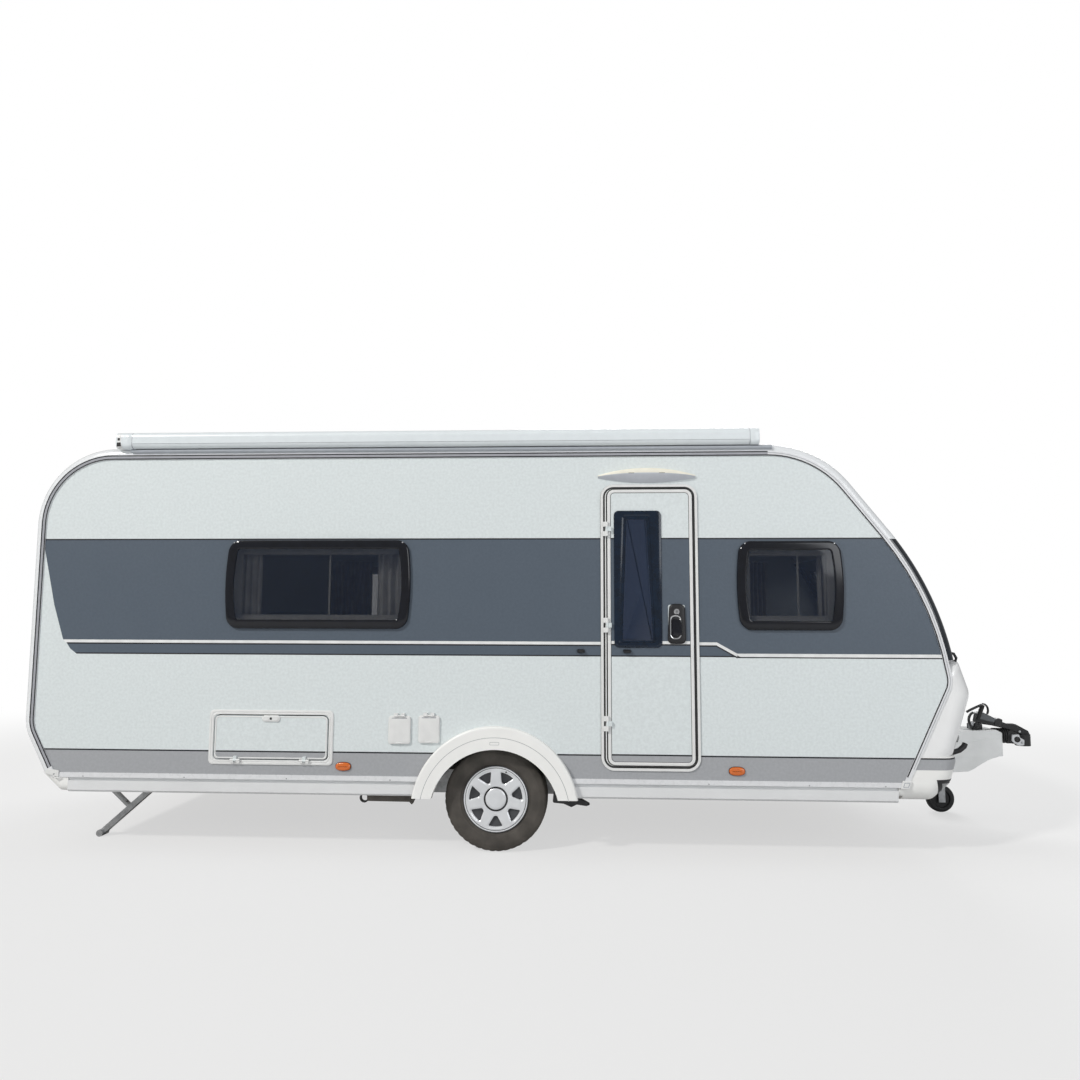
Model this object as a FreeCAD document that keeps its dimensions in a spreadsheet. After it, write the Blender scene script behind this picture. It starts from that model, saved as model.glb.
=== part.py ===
import FreeCAD, Part
import Sketcher
import math
import os

# A single-axle touring caravan, 6.8 m over its coupling. +X points to the coupling, +Y to the left,
# +Z up. Lengths along X are laid out from the wheel axle, heights from the ground.

doc = FreeCAD.newDocument("TouringCaravan")
sheet = doc.addObject("Spreadsheet::Sheet", "Sizes")

SIZES = (
    # body shell
    ("half_width", 1150), ("wall", 31), ("crown", 50), ("rail_width", 30), ("rail_proud", 6),
    ("rail_top", 2485), ("rail_bottom", 430), ("rail_rear", 2973), ("heel_height", 741), ("heel_rear", 2807),
    ("brow_start", 1992), ("brow_x", 2696), ("brow_height", 1584), ("nose_x", 2772), ("nose_height", 1044),
    ("chin_x", 2479), ("heel_radius", 220), ("rear_radius", 450), ("brow_radius", 600), ("slope_radius", 1800),
    ("nose_radius", 150), ("floor_top", 500), ("floor_thick", 45), ("floor_front", 2480), ("floor_rear", 2780),
    ("panel_split", 1930), ("ledge_height", 1190), ("seam_gap", 4),
    # gas locker and bumpers
    ("locker_rear", 2380), ("locker_x", 2843), ("belly_x", 2908), ("belly_drop", 205), ("belly_radius", 120),
    ("shin_x", 2792), ("shin_height", 622), ("foot_x", 2690), ("corner_radius", 110), ("lid_half_width", 985),
    ("lid_head_gap", 18), ("lid_bottom", 642), ("bumper_bottom", 345), ("bumper_rear", 2430), ("bumper_top", 612),
    ("bumper_x", 2800), ("chin_setback", 150), ("bumper_skin", 24), ("valance_x", 2888), ("valance_foot", 2760),
    ("valance_front", 2700), ("drawbar_notch", 430), ("skirt_drop", 12),
    # skirts, arches, wheels
    ("skirt_top", 410), ("skirt_bottom", 340), ("arch_outer", 515), ("arch_outer_z", 258), ("arch_inner", 401),
    ("arch_inner_z", 233), ("arch_proud", 52), ("arch_skin", 6), ("arch_round", 14), ("box_inner", 850),
    ("box_half", 340), ("box_top", 700), ("box_skin", 8),
    ("tyre_radius", 320), ("tyre_width", 195), ("wheel_outer", 1105), ("rim_radius", 203), ("rim_lip", 190),
    ("rim_skin", 9), ("hub_cap_radius", 68), ("window_inner", 106), ("window_outer", 172), ("spoke_count", 7),
    ("window_half_in", 16), ("window_half_out", 42), ("drum_radius", 118), ("drum_depth", 62),
    ("stub_radius", 20), ("running_gap", 0.05),
    # doors, hatches, windows
    ("door_rear", 652), ("door_front", 1255), ("door_foot", 511), ("door_head", 2275), ("door_radius", 80),
    ("frame_width", 44), ("frame_proud", 9), ("door_gap", 8), ("door_proud", 6), ("lip_gap", 1),
    ("handle_inset", 85), ("handle_wide", 103), ("handle_rise", 30), ("handle_tall", 234), ("handle_radius", 12),
    ("light_rear", 735), ("light_front", 1029), ("light_foot", 1256), ("light_head", 2108), ("light_radius", 55),
    ("hatch_rear", -1802), ("hatch_front", -1013), ("hatch_foot", 520), ("hatch_head", 857), ("hatch_radius", 45),
    ("flap_rear", -667), ("flap_front", -527), ("flap_foot", 656), ("flap_head", 829),
    ("inlet_rear", -479), ("inlet_front", -346), ("inlet_foot", 663), ("inlet_head", 833), ("flap_radius", 16),
    ("flap_proud", 14), ("flap_depth", 10), ("flap_gap", 6), ("hinge_stand", 18), ("box_depth", 70),
    ("rear_light_rear", -1734), ("rear_light_front", -545), ("rear_light_foot", 1365), ("rear_light_head", 1925),
    ("front_light_rear", 1492), ("front_light_front", 2141), ("front_light_foot", 1366), ("front_light_head", 1916),
    ("pane_radius", 85), ("pane_proud", 26), ("pane_skin", 7), ("pane_lap", 34),
    ("end_light_half", 960), ("end_light_rise", 95), ("end_light_tall", 600), ("end_light_proud", 14),
    ("back_light_half", 640), ("back_light_foot", 1370), ("back_light_head", 1860),
    # roof
    ("awning_rear", -2485), ("awning_front", 1645), ("awning_proud", 44), ("awning_depth", 108),
    ("awning_lift", 37), ("awning_tall", 108), ("awning_radius", 36),
    ("roof_light_half", 350), ("roof_light_x", 1150), ("vent_half", 230), ("vent_x", -1750), ("roof_light_tall", 88),
    # lamps
    ("lamp_half", 50), ("lamp_tall", 55), ("lamp_height", 516), ("rear_lamp_x", -945), ("front_lamp_x", 1471),
    ("lamp_proud", 16), ("canopy_rear", 640), ("canopy_front", 1243), ("canopy_rise", 43), ("canopy_tall", 56),
    ("canopy_proud", 48), ("tail_inner", 905), ("tail_outer", 1045), ("tail_foot", 700), ("tail_head", 1060),
    ("tail_proud", 22),
    # chassis and drawbar
    ("rail_y", 600), ("chassis_top", 455), ("chassis_depth", 200), ("flange", 50), ("gauge", 5),
    ("chassis_rear", 2620), ("knee_x", 1500), ("arm_end_x", 3300), ("arm_end_y", 62), ("arm_depth", 95),
    ("cross_rear", -2050), ("cross_mid", 950), ("cross_front", 1440), ("cross_wide", 50),
    ("axle_lead", 165), ("axle_beam_z", 330), ("axle_side", 100), ("axle_half", 760), ("arm_thick", 34),
    ("cover_rear", 2815), ("cover_front", 3586), ("cover_top", 640), ("cover_half_rear", 260),
    ("cover_half_front", 74), ("cover_skin", 6), ("cover_lap", 2),
    ("tube_z", 578), ("tube_radius", 30), ("tube_rear", 3140), ("head_rear", 3629), ("bellows_rear", 3500),
    ("bellows_radius", 39), ("ball_x", 3755), ("head_radius", 52), ("head_foot", 525), ("ball_radius", 25),
    ("socket_gap", 0.3), ("head_top", 606), ("lever_x", 3340), ("lever_length", 300),
    ("lever_angle", 68), ("lever_room", 16),
    # jockey wheel
    ("jockey_x", 3230), ("jockey_y", 205), ("jockey_radius", 100), ("jockey_width", 60), ("sleeve_radius", 30),
    ("sleeve_foot", 425), ("sleeve_top", 700), ("stem_radius", 24), ("stem_foot", 246), ("stem_top", 520),
    ("clamp_drop", 25), ("clamp_rise", 28), ("slide_gap", 0.3), ("fork_top", 234), ("fork_skin", 6), ("fork_gap", 6), ("pin_radius", 8),
    # corner steadies
    ("steady_y", 850), ("rear_pivot", -2690), ("front_pivot", 2210), ("steady_z", 400), ("brace_length", 325),
    ("leg_length", 570), ("foot_radius", 22), ("stowed_angle", 4.5), ("brace_skin", 4), ("brace_half", 10),
    ("leg_half", 17), ("leg_skin", 4), ("leg_y", 21), ("brace_y", 14), ("spindle_radius", 8), ("spindle_length", 700),
    ("steady_pin", 5), ("mount_skin", 6),
    # furniture
    ("bed_front", -900), ("bed_rear", -2780), ("mattress_rear", -2980), ("bed_side", 250), ("bed_top", 860), ("board", 18), ("mattress_tall", 120),
    ("washroom_rear", -2700), ("washroom_front", -1900), ("washroom_side", 330), ("washroom_top", 1350),
    ("kitchen_rear", -300), ("kitchen_front", 1250), ("kitchen_side", 560), ("kitchen_top", 1390),
    ("robe_rear", -60), ("robe_front", 560), ("robe_side", -600), ("robe_top", 1950),
    ("sofa_rear", 1640), ("sofa_top", 860), ("soft_gap", 0.3),
)

for row, (alias, number) in enumerate(SIZES, start=1):
    sheet.set("A%d" % row, str(number))
    sheet.setAlias("A%d" % row, alias)
doc.recompute()


class Size:
    """A length with the spreadsheet expression that gives it."""

    def __init__(self, value, text):
        self.value = float(value)
        self.text = text

    def __add__(self, other):
        other = size(other)
        return Size(self.value + other.value, "(%s + %s)" % (self.text, other.text))

    def __sub__(self, other):
        other = size(other)
        return Size(self.value - other.value, "(%s - %s)" % (self.text, other.text))

    def __mul__(self, other):
        other = size(other)
        return Size(self.value * other.value, "(%s * %s)" % (self.text, other.text))

    def __truediv__(self, other):
        other = size(other)
        return Size(self.value / other.value, "(%s / %s)" % (self.text, other.text))

    def __radd__(self, other):
        return size(other) + self

    def __rsub__(self, other):
        return size(other) - self

    def __rmul__(self, other):
        return size(other) * self

    def __neg__(self):
        return Size(-self.value, "(-1 * %s)" % self.text)


def size(number):
    if isinstance(number, Size):
        return number
    return Size(number, "%r" % number if number >= 0 else "(%r)" % number)


def cosine(angle):
    return Size(math.cos(math.radians(angle.value)), "cos(%s * 1deg)" % angle.text)


def sine(angle):
    return Size(math.sin(math.radians(angle.value)), "sin(%s * 1deg)" % angle.text)


class Sheet:
    pass


d = Sheet()
for alias, number in SIZES:
    setattr(d, alias, Size(sheet.get(alias), "Sizes." + alias))

X_AXIS = FreeCAD.Vector(1, 0, 0)
Y_AXIS = FreeCAD.Vector(0, 1, 0)
Z_AXIS = FreeCAD.Vector(0, 0, 1)
TURNS = {"x": FreeCAD.Rotation(Y_AXIS, 90), "y": FreeCAD.Rotation(X_AXIS, -90), "z": FreeCAD.Rotation()}
PLANES = {"xy": "XY_Plane", "xz": "XZ_Plane", "yz": "YZ_Plane"}
sub_parts = []


def bind(feature, name, amount):
    feature.setExpression(name, size(amount).text)


placed_x = {}


def place(feature, x, y, z):
    placed_x[feature.Name] = size(x)
    bind(feature, "Placement.Base.x", x)
    bind(feature, "Placement.Base.y", y)
    bind(feature, "Placement.Base.z", z)


def box(name, low, high):
    low, high = [size(value) for value in low], [size(value) for value in high]
    feature = doc.addObject("Part::Box", name)
    bind(feature, "Length", high[0] - low[0])
    bind(feature, "Width", high[1] - low[1])
    bind(feature, "Height", high[2] - low[2])
    place(feature, *low)
    return feature


def cylinder(name, axis, start, radius, length):
    feature = doc.addObject("Part::Cylinder", name)
    feature.Placement = FreeCAD.Placement(FreeCAD.Vector(), TURNS[axis])
    bind(feature, "Radius", radius)
    bind(feature, "Height", length)
    place(feature, *start)
    return feature


def cut(name, base, tool):
    feature = doc.addObject("Part::Cut", name)
    feature.Base = base
    feature.Tool = tool
    return feature


def common(name, base, tool):
    feature = doc.addObject("Part::Common", name)
    feature.Base = base
    feature.Tool = tool
    return feature


def join(name, pieces):
    feature = doc.addObject("Part::MultiFuse", name)
    feature.Shapes = pieces
    return feature


def mirrored(name, source):
    feature = doc.addObject("Part::Mirroring", name)
    feature.Source = source
    feature.Normal = Y_AXIS
    return feature


# Sketches: an outline is a list of corners (u, v) or (u, v, corner radius), counter-clockwise

def corner_values(outline):
    corners = []
    for corner in outline:
        u, v = size(corner[0]), size(corner[1])
        radius = size(corner[2]) if len(corner) > 2 else size(0)
        corners.append((u, v, radius))
    return corners


def rounded_corner(before, corner, after, radius):
    """Start, end, centre of the arc that rounds one corner, and whether it turns left."""
    to_before = (before - corner).normalize()
    to_after = (after - corner).normalize()
    half = to_before.getAngle(to_after) / 2
    reach = radius / math.tan(half)
    centre = corner + (to_before + to_after).normalize() * (radius / math.sin(half))
    turns_left = to_before.cross(to_after).z < 0
    return corner + to_before * reach, corner + to_after * reach, centre, turns_left


def draw(sketch, outline):
    corners = corner_values(outline)
    count = len(corners)
    points = [FreeCAD.Vector(u.value, v.value, 0) for u, v, radius in corners]
    arrive, leave, arcs = list(points), list(points), {}
    for i, (u, v, radius) in enumerate(corners):
        if radius.value > 0:
            arc = rounded_corner(points[i - 1], points[i], points[(i + 1) % count], radius.value)
            arrive[i], leave[i] = arc[0], arc[1]
            arcs[i] = arc
    first = sketch.GeometryCount
    lines = [Part.LineSegment(leave[i], arrive[(i + 1) % count]) for i in range(count)]
    sketch.addGeometry(lines, False)
    rules, sizes = [], []
    for i, (u, v, radius) in enumerate(corners):
        line_in, line_out = first + (i - 1) % count, first + i
        if i in arcs:
            start, end, centre, turns_left = arcs[i]
            a, b = (start, end) if turns_left else (end, start)
            circle = Part.Circle(centre, Z_AXIS, radius.value)
            arc = Part.ArcOfCircle(circle, circle.parameter(a), circle.parameter(b))
            arc_id = sketch.addGeometry(arc, False)
            point_id = sketch.addGeometry(Part.Point(points[i]), True)
            near, far = (1, 2) if turns_left else (2, 1)
            rules.append(Sketcher.Constraint("Tangent", line_in, 2, arc_id, near))
            rules.append(Sketcher.Constraint("Tangent", line_out, 1, arc_id, far))
            rules.append(Sketcher.Constraint("PointOnObject", point_id, 1, line_in))
            rules.append(Sketcher.Constraint("PointOnObject", point_id, 1, line_out))
            sizes.append((len(rules), radius))
            rules.append(Sketcher.Constraint("Radius", arc_id, radius.value))
            held = point_id
        else:
            rules.append(Sketcher.Constraint("Coincident", line_in, 2, line_out, 1))
            held = line_out
        sizes.append((len(rules), u))
        rules.append(Sketcher.Constraint("DistanceX", -1, 1, held, 1, u.value))
        sizes.append((len(rules), v))
        rules.append(Sketcher.Constraint("DistanceY", -1, 1, held, 1, v.value))
    offset = sketch.ConstraintCount
    sketch.addConstraint(rules)
    for index, amount in sizes:
        sketch.setExpression("Constraints[%d]" % (offset + index), amount.text)


def body_sketch(body, name, plane, outline, level=0):
    sketch = body.newObject("Sketcher::SketchObject", name)
    support = [item for item in body.Origin.OriginFeatures if item.Role == PLANES[plane]]
    sketch.AttachmentSupport = [(support[0], "")]
    sketch.MapMode = "FlatFace"
    level = size(level)
    bind(sketch, "AttachmentOffset.Base.z", -level if plane == "xz" else level)
    draw(sketch, outline)
    return sketch


def prism(name, plane, outline, low, high):
    """A padded outline: low and high are its ends along the axis across the sketch plane."""
    low, high = size(low), size(high)
    body = doc.addObject("PartDesign::Body", name)
    sketch = body_sketch(body, name + "_outline", plane, outline, high if plane == "xz" else low)
    pad = body.newObject("PartDesign::Pad", name + "_pad")
    pad.Profile = sketch
    bind(pad, "Length", high - low)
    return body


def turned(name, outline):
    """A solid of revolution about Y: the outline's corners are (y, radius)."""
    body = doc.addObject("PartDesign::Body", name)
    sketch = body_sketch(body, name + "_outline", "yz", outline)
    turn = body.newObject("PartDesign::Revolution", name + "_turn")
    turn.Profile = sketch
    turn.ReferenceAxis = (sketch, ["H_Axis"])
    turn.Angle = 360
    return body


def round_off(body, name, radius, wanted):
    """Fillet the edges of a body's tip whose centre and direction satisfy a test."""
    doc.recompute()
    tip = body.Tip
    chosen = []
    for number, edge in enumerate(tip.Shape.Edges, start=1):
        if wanted(edge):
            chosen.append("Edge%d" % number)
    fillet = body.newObject("PartDesign::Fillet", name)
    fillet.Base = (tip, chosen)
    bind(fillet, "Radius", radius)
    body.Tip = fillet
    return body


def lies_on(edge, axis, level):
    """True for an edge that lies in the plane where one coordinate has a given value."""
    bounds = edge.BoundBox
    low = {"x": bounds.XMin, "y": bounds.YMin, "z": bounds.ZMin}[axis]
    high = {"x": bounds.XMax, "y": bounds.YMax, "z": bounds.ZMax}[axis]
    return abs(low - level) < 0.01 and abs(high - level) < 0.01


def rectangle(left, foot, right, head, radius=0):
    return [(left, foot, radius), (right, foot, radius), (right, head, radius), (left, head, radius)]


# The finished object stands centred on its overall length
shift = ((d.rail_rear + d.crown + d.tail_proud) - (d.ball_x + d.head_radius)) / 2


def sub_part(label, feature, moved=True):
    feature.Label = label
    if moved:
        bind(feature, "Placement.Base.x", placed_x.get(feature.Name, size(0)) + shift)
    sub_parts.append((label, feature))
    return feature


def mirror_part(label, source):
    """The left-hand twin of a finished right-hand sub-part, which is already in its place."""
    return sub_part(label, mirrored(label, source), moved=False)


# Body shell

def side_outline_corners():
    return [
        (-d.heel_rear, d.rail_bottom),
        (d.chin_x, d.rail_bottom),
        (d.nose_x, d.nose_height, d.nose_radius),
        (d.brow_x, d.brow_height, d.slope_radius),
        (d.brow_start, d.rail_top, d.brow_radius),
        (-d.rail_rear, d.rail_top, d.rear_radius),
        (-d.rail_rear, d.heel_height, d.heel_radius),
    ]


side_sketch = doc.addObject("Sketcher::SketchObject", "side_outline")
side_sketch.Placement = FreeCAD.Placement(FreeCAD.Vector(), FreeCAD.Rotation(X_AXIS, 90))
draw(side_sketch, side_outline_corners())


def offset_prism(name, sketch, grow, half):
    """A solid across the body whose outline is a sketch, grown outwards by a distance."""
    source = sketch
    if size(grow).value != 0:
        source = doc.addObject("Part::Offset2D", name + "_offset")
        source.Source = sketch
        source.Join = "Intersection"
        bind(source, "Value", grow)
    solid = doc.addObject("Part::Extrusion", name)
    solid.Base = source
    solid.DirMode = "Custom"
    solid.Dir = Y_AXIS
    bind(solid, "LengthFwd", half * 2)
    solid.Symmetric = True
    solid.Solid = True
    return solid


def filleted(name, base, radius, wanted):
    doc.recompute()
    feature = doc.addObject("Part::Fillet", name)
    feature.Base = base
    feature.Edges = [
        (number, radius.value, radius.value)
        for number, edge in enumerate(base.Shape.Edges, start=1)
        if wanted(edge)
    ]
    return feature


def on_side_face(edge):
    half = d.half_width.value
    return (lies_on(edge, "y", half) or lies_on(edge, "y", -half)) and edge.BoundBox.ZMax > d.rail_bottom.value


FAR = 4000
side_slab = offset_prism("side_slab", side_sketch, 0, d.half_width + 1)
shell_block = filleted("shell_block", offset_prism("shell_pad", side_sketch, d.crown, d.half_width),
                       d.crown, on_side_face)
shell_core = offset_prism("shell_core", side_sketch, d.crown - d.wall, d.half_width - d.wall)
shell_skin = cut("shell_skin", shell_block, join("shell_inside", [shell_core, side_slab]))

floor_bottom = d.floor_top - d.floor_thick
inner_half = d.half_width - d.wall


def arch_hole(name, grow=0):
    return cylinder(name, "y", (0, -FAR, d.arch_inner_z), d.arch_inner + grow, 2 * FAR)


# The windows' holes lie inside the panes by the lap of each pane on its wall
def light_hole(name, rear, foot, front, head):
    outline = rectangle(rear + d.pane_lap, foot + d.pane_lap, front - d.pane_lap, head - d.pane_lap,
                        d.pane_radius - d.pane_lap)
    return prism(name, "xz", outline, -FAR, FAR)


LIGHTS = {
    "rear": (d.rear_light_rear, d.rear_light_foot, d.rear_light_front, d.rear_light_head),
    "front": (d.front_light_rear, d.front_light_foot, d.front_light_front, d.front_light_head),
}
light_holes = [light_hole(name + "_light_hole", *corners) for name, corners in LIGHTS.items()]


def side_wall(name, low, high, holes):
    slab = prism(name + "_slab", "xz", side_outline_corners(), low, high)
    return cut(name, slab, join(name + "_holes", holes))


def opening(name, rear, foot, front, head, radius, depth=FAR):
    """A hole through the right wall, rounded at its corners."""
    return prism(name, "xz", rectangle(rear, foot, front, head, radius), -depth, 0)


door_hole = opening("door_hole", d.door_rear + d.frame_proud, d.door_foot + d.frame_proud,
                    d.door_front - d.frame_proud, d.door_head - d.frame_proud, d.door_radius - d.frame_proud)
HATCH = (d.hatch_rear + d.rail_width, d.hatch_foot + d.rail_width,
         d.hatch_front - d.rail_width, d.hatch_head - d.rail_width)
hatch_hole = opening("hatch_hole", *HATCH, d.hatch_radius - d.flap_gap)
FLAPS = {
    "mains": (d.flap_rear + d.flap_gap, d.flap_foot + d.flap_gap, d.flap_front - d.flap_gap,
              d.flap_head - d.flap_gap),
    "water": (d.inlet_rear + d.flap_gap, d.inlet_foot + d.flap_gap, d.inlet_front - d.flap_gap,
              d.inlet_head - d.flap_gap),
}
flap_holes = [opening(name + "_hole", *corners, d.flap_radius) for name, corners in FLAPS.items()]

sub_part("side_wall_right", side_wall("side_wall_right", -d.half_width, -inner_half,
                                      [arch_hole("arch_hole_right"), door_hole, hatch_hole]
                                      + flap_holes + light_holes))
sub_part("side_wall_left", side_wall("side_wall_left", inner_half, d.half_width,
                                     [arch_hole("arch_hole_left")] + light_holes))

roof_zone = box("roof_zone", (-FAR, -FAR, d.panel_split), (FAR, FAR, FAR))
front_zone = box("front_zone", (0, -FAR, d.ledge_height), (FAR, FAR, d.panel_split))
rear_zone = box("rear_zone", (-FAR, -FAR, floor_bottom), (0, FAR, d.panel_split))


def roof_hole(name, centre, half):
    return box(name, (centre - half, -half, d.rail_top - d.wall), (centre + half, half, d.rail_top + d.crown + d.wall))


sub_part("roof_shell", cut("roof_shell", common("roof_solid", shell_skin, roof_zone),
                           join("roof_holes", [roof_hole("roof_hole_front", d.roof_light_x,
                                                         d.roof_light_half - d.pane_lap),
                                               roof_hole("roof_hole_rear", d.vent_x,
                                                         d.vent_half - d.pane_lap)])))


def end_hole(name, half, foot, head, lap, low, high):
    radius = d.pane_radius - lap
    outline = rectangle(-half + lap, foot + lap, half - lap, head - lap, radius)
    return prism(name, "yz", outline, low, high)


end_light_foot = d.ledge_height + d.end_light_rise
end_light_head = end_light_foot + d.end_light_tall
front_hole = end_hole("front_light_hole_end", d.end_light_half, end_light_foot, end_light_head,
                      d.pane_lap, 0, FAR)
back_hole = end_hole("back_light_hole_end", d.back_light_half, d.back_light_foot, d.back_light_head,
                     d.pane_lap, -FAR, 0)
sub_part("front_panel", cut("front_panel", common("front_solid", shell_skin, front_zone), front_hole))
sub_part("rear_panel", cut("rear_panel", common("rear_solid", shell_skin, rear_zone), back_hole))

# Panes stand proud of the front and back panels, and follow their curve
pane_block = offset_prism("pane_block", side_sketch, d.crown + d.end_light_proud, d.half_width - d.crown)
pane_inside = offset_prism("pane_inside", side_sketch, d.crown, d.half_width)
pane_skin = cut("pane_skin", pane_block, pane_inside)
front_pane_zone = end_hole("front_pane_zone", d.end_light_half, end_light_foot, end_light_head, 0, 0, FAR)
back_pane_zone = end_hole("back_pane_zone", d.back_light_half, d.back_light_foot, d.back_light_head, 0, -FAR, 0)
sub_part("windows_ends", common("windows_ends", pane_skin, join("pane_zones", [front_pane_zone, back_pane_zone])))


def side_pane(name, rear, foot, front, head):
    """An acrylic pane, dished behind, proud of the right wall."""
    outer = prism(name + "_outer", "xz", rectangle(rear, foot, front, head, d.pane_radius),
                  -d.half_width - d.pane_proud, -d.half_width)
    face = (-d.half_width - d.pane_proud).value
    round_off(outer, name + "_edge", d.pane_skin, lambda edge: lies_on(edge, "y", face))
    hollow = prism(name + "_hollow", "xz",
                   rectangle(rear + d.pane_lap, foot + d.pane_lap, front - d.pane_lap, head - d.pane_lap,
                             d.pane_radius - d.pane_lap),
                   -d.half_width - d.pane_proud + d.pane_skin, -d.half_width + 1)
    return cut(name, outer, hollow)


panes = join("panes", [side_pane(name + "_pane", *corners) for name, corners in LIGHTS.items()])
sub_part("windows_right", panes)
sub_part("windows_left", mirrored("windows_left", join("panes_left", [doc.rear_pane, doc.front_pane])))

# Floor with wells for the wheels, and the boxes over them


def well(name, side):
    low = d.box_inner if side > 0 else -d.half_width
    high = d.half_width if side > 0 else -d.box_inner
    return box(name, (-d.box_half, low, floor_bottom - 1), (d.box_half, high, d.box_top))


floor_slab = box("floor_slab", (-d.floor_rear, -inner_half, floor_bottom), (d.floor_front, inner_half, d.floor_top))
sub_part("floor", cut("floor", floor_slab, join("wells", [well("well_left", 1), well("well_right", -1)])))
wheel_box = cut(
    "wheel_box_shell",
    box("wheel_box_block", (-d.box_half, d.box_inner, floor_bottom), (d.box_half, inner_half, d.box_top)),
    box("wheel_box_room", (-d.box_half + d.box_skin, d.box_inner + d.box_skin, floor_bottom - 1),
        (d.box_half - d.box_skin, inner_half + 1, d.box_top - d.box_skin)))
sub_part("wheel_boxes", join("wheel_boxes", [wheel_box, mirrored("wheel_box_right", wheel_box)]))

# Front gas locker: a hollow nose with a lid, a bulkhead behind it

nose_sketch = doc.addObject("Sketcher::SketchObject", "nose_outline")
nose_sketch.Placement = FreeCAD.Placement(FreeCAD.Vector(), FreeCAD.Rotation(X_AXIS, 90))
draw(nose_sketch, [
    (d.locker_rear, d.floor_top),
    (d.foot_x, d.floor_top, d.wall),
    (d.shin_x, d.shin_height, d.wall * 2),
    (d.belly_x, (d.ledge_height - d.belly_drop), d.belly_radius),
    (d.locker_x, d.ledge_height, d.wall - 1),
    (d.locker_rear, d.ledge_height),
])


def nose_corner(edge):
    half = d.half_width.value
    on_face = lies_on(edge, "y", half) or lies_on(edge, "y", -half)
    front = edge.BoundBox.XMax > d.foot_x.value - 1 and edge.BoundBox.ZLength > 5
    return on_face and front


nose_block = filleted("nose_block", offset_prism("nose_pad", nose_sketch, 0, d.half_width),
                      d.corner_radius, nose_corner)


def nose_core_corner(edge):
    half = inner_half.value
    on_face = lies_on(edge, "y", half) or lies_on(edge, "y", -half)
    return on_face and edge.BoundBox.XMax > d.foot_x.value - 1 - d.wall.value and edge.BoundBox.ZLength > 5


nose_core = filleted("nose_core", offset_prism("nose_core_pad", nose_sketch, -d.wall, inner_half),
                     d.corner_radius - d.wall, nose_core_corner)
nose_rear = box("nose_rear", (0, -FAR, 0), (d.floor_front, FAR, d.ledge_height - d.wall))
nose_behind = box("nose_behind", (0, -FAR, 0), (d.locker_rear + d.wall, FAR, FAR))
nose_skin = cut("nose_skin", nose_block, join("nose_inside", [nose_core, side_slab, nose_rear, nose_behind]))
lid_zone = box("lid_zone", (d.floor_front, -d.lid_half_width, d.lid_bottom),
               (FAR, d.lid_half_width, (d.ledge_height - d.lid_head_gap)))
nose_frame = cut("nose_frame", nose_skin, lid_zone)
lid_fit = box("lid_fit", (d.floor_front, -d.lid_half_width + d.flap_gap, d.lid_bottom + d.flap_gap),
              (FAR, d.lid_half_width - d.flap_gap, (d.ledge_height - d.lid_head_gap) - d.flap_gap))
lid_skin = common("lid_skin", nose_skin, lid_fit)
sub_part("bulkhead", box("bulkhead", (d.locker_rear, -inner_half, d.floor_top),
                         (d.locker_rear + d.wall, inner_half, d.ledge_height)))

# Hinges: a fixed pin between two knuckles, and the eye that turns on it


def hinge(name, axis, at, length, stand, leaf, eye_leaf, rotation):
    """Fixed and moving halves of one hinge, drawn along local Z with its pin at the origin.

    The wall lies towards local +Y, the moving panel towards local +X.
    """
    pin, eye = d.steady_pin, d.pin_radius
    third = length / 3
    fixed = [cylinder(name + "_pin", "z", (0, 0, -length / 2), pin, length)]
    for end, low in (("a", -length / 2), ("b", length / 2 - third)):
        fixed.append(cylinder(name + "_knuckle_" + end, "z", (0, 0, low), eye, third))
        fixed.append(box(name + "_leaf_" + end, (-leaf, -pin, low), (0, stand, low + third)))
    gap = d.slide_gap
    tube = cylinder(name + "_eye", "z", (0, 0, -third / 2 + gap), eye, third - 2 * gap)
    plate = box(name + "_plate", (0, -pin, -third / 2 + gap), (eye_leaf, stand, third / 2 - gap))
    bore = cylinder(name + "_bore", "z", (0, 0, -third / 2), pin + d.running_gap, third)
    moving = cut(name + "_moving", join(name + "_eye_plate", [tube, plate]), bore)
    halves = [join(name + "_fixed", fixed), moving]
    for half in halves:
        half.Placement = FreeCAD.Placement(FreeCAD.Vector(), rotation)
        place(half, *at)
    return halves


TO_Z = FreeCAD.Rotation()
door_axis_x = d.door_rear + d.frame_width - 4
door_axis_y = -d.half_width - d.hinge_stand
door_fixed, door_moving = [], []
for index, share in enumerate((0.16, 0.5, 0.84)):
    height = d.door_foot + (d.door_head - d.door_foot) * share
    fixed, moving = hinge("door_hinge_%d" % index, "z", (door_axis_x, door_axis_y, height), size(90),
                          d.hinge_stand - d.door_proud + 1, d.rail_width - 6, d.rail_width - 4, TO_Z)
    door_fixed.append(fixed)
    door_moving.append(moving)

door_ring = cut(
    "door_ring",
    join("door_ring_solid", [
        prism("door_flange", "xz", rectangle(d.door_rear, d.door_foot, d.door_front, d.door_head, d.door_radius),
              -d.half_width - d.frame_proud, -d.half_width),
        prism("door_sleeve", "xz",
              rectangle(d.door_rear + d.frame_proud, d.door_foot + d.frame_proud,
                        d.door_front - d.frame_proud, d.door_head - d.frame_proud, d.door_radius - d.frame_proud),
              -d.half_width - 1, -inner_half)]),
    prism("door_way", "xz",
          rectangle(d.door_rear + d.rail_width + 4, d.door_foot + d.rail_width - 6, d.door_front - d.rail_width + 6,
                    d.door_head - d.rail_width + 6, d.door_radius - d.rail_width + 6), -FAR, 0))
sub_part("door_frame", join("door_frame", [door_ring] + door_fixed))
DOOR = (d.door_rear + d.rail_width + 4 + d.door_gap, d.door_foot + d.rail_width - 6 + d.door_gap,
        d.door_front - d.rail_width + 6 - d.door_gap, d.door_head - d.rail_width + 6 - d.door_gap)
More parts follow.
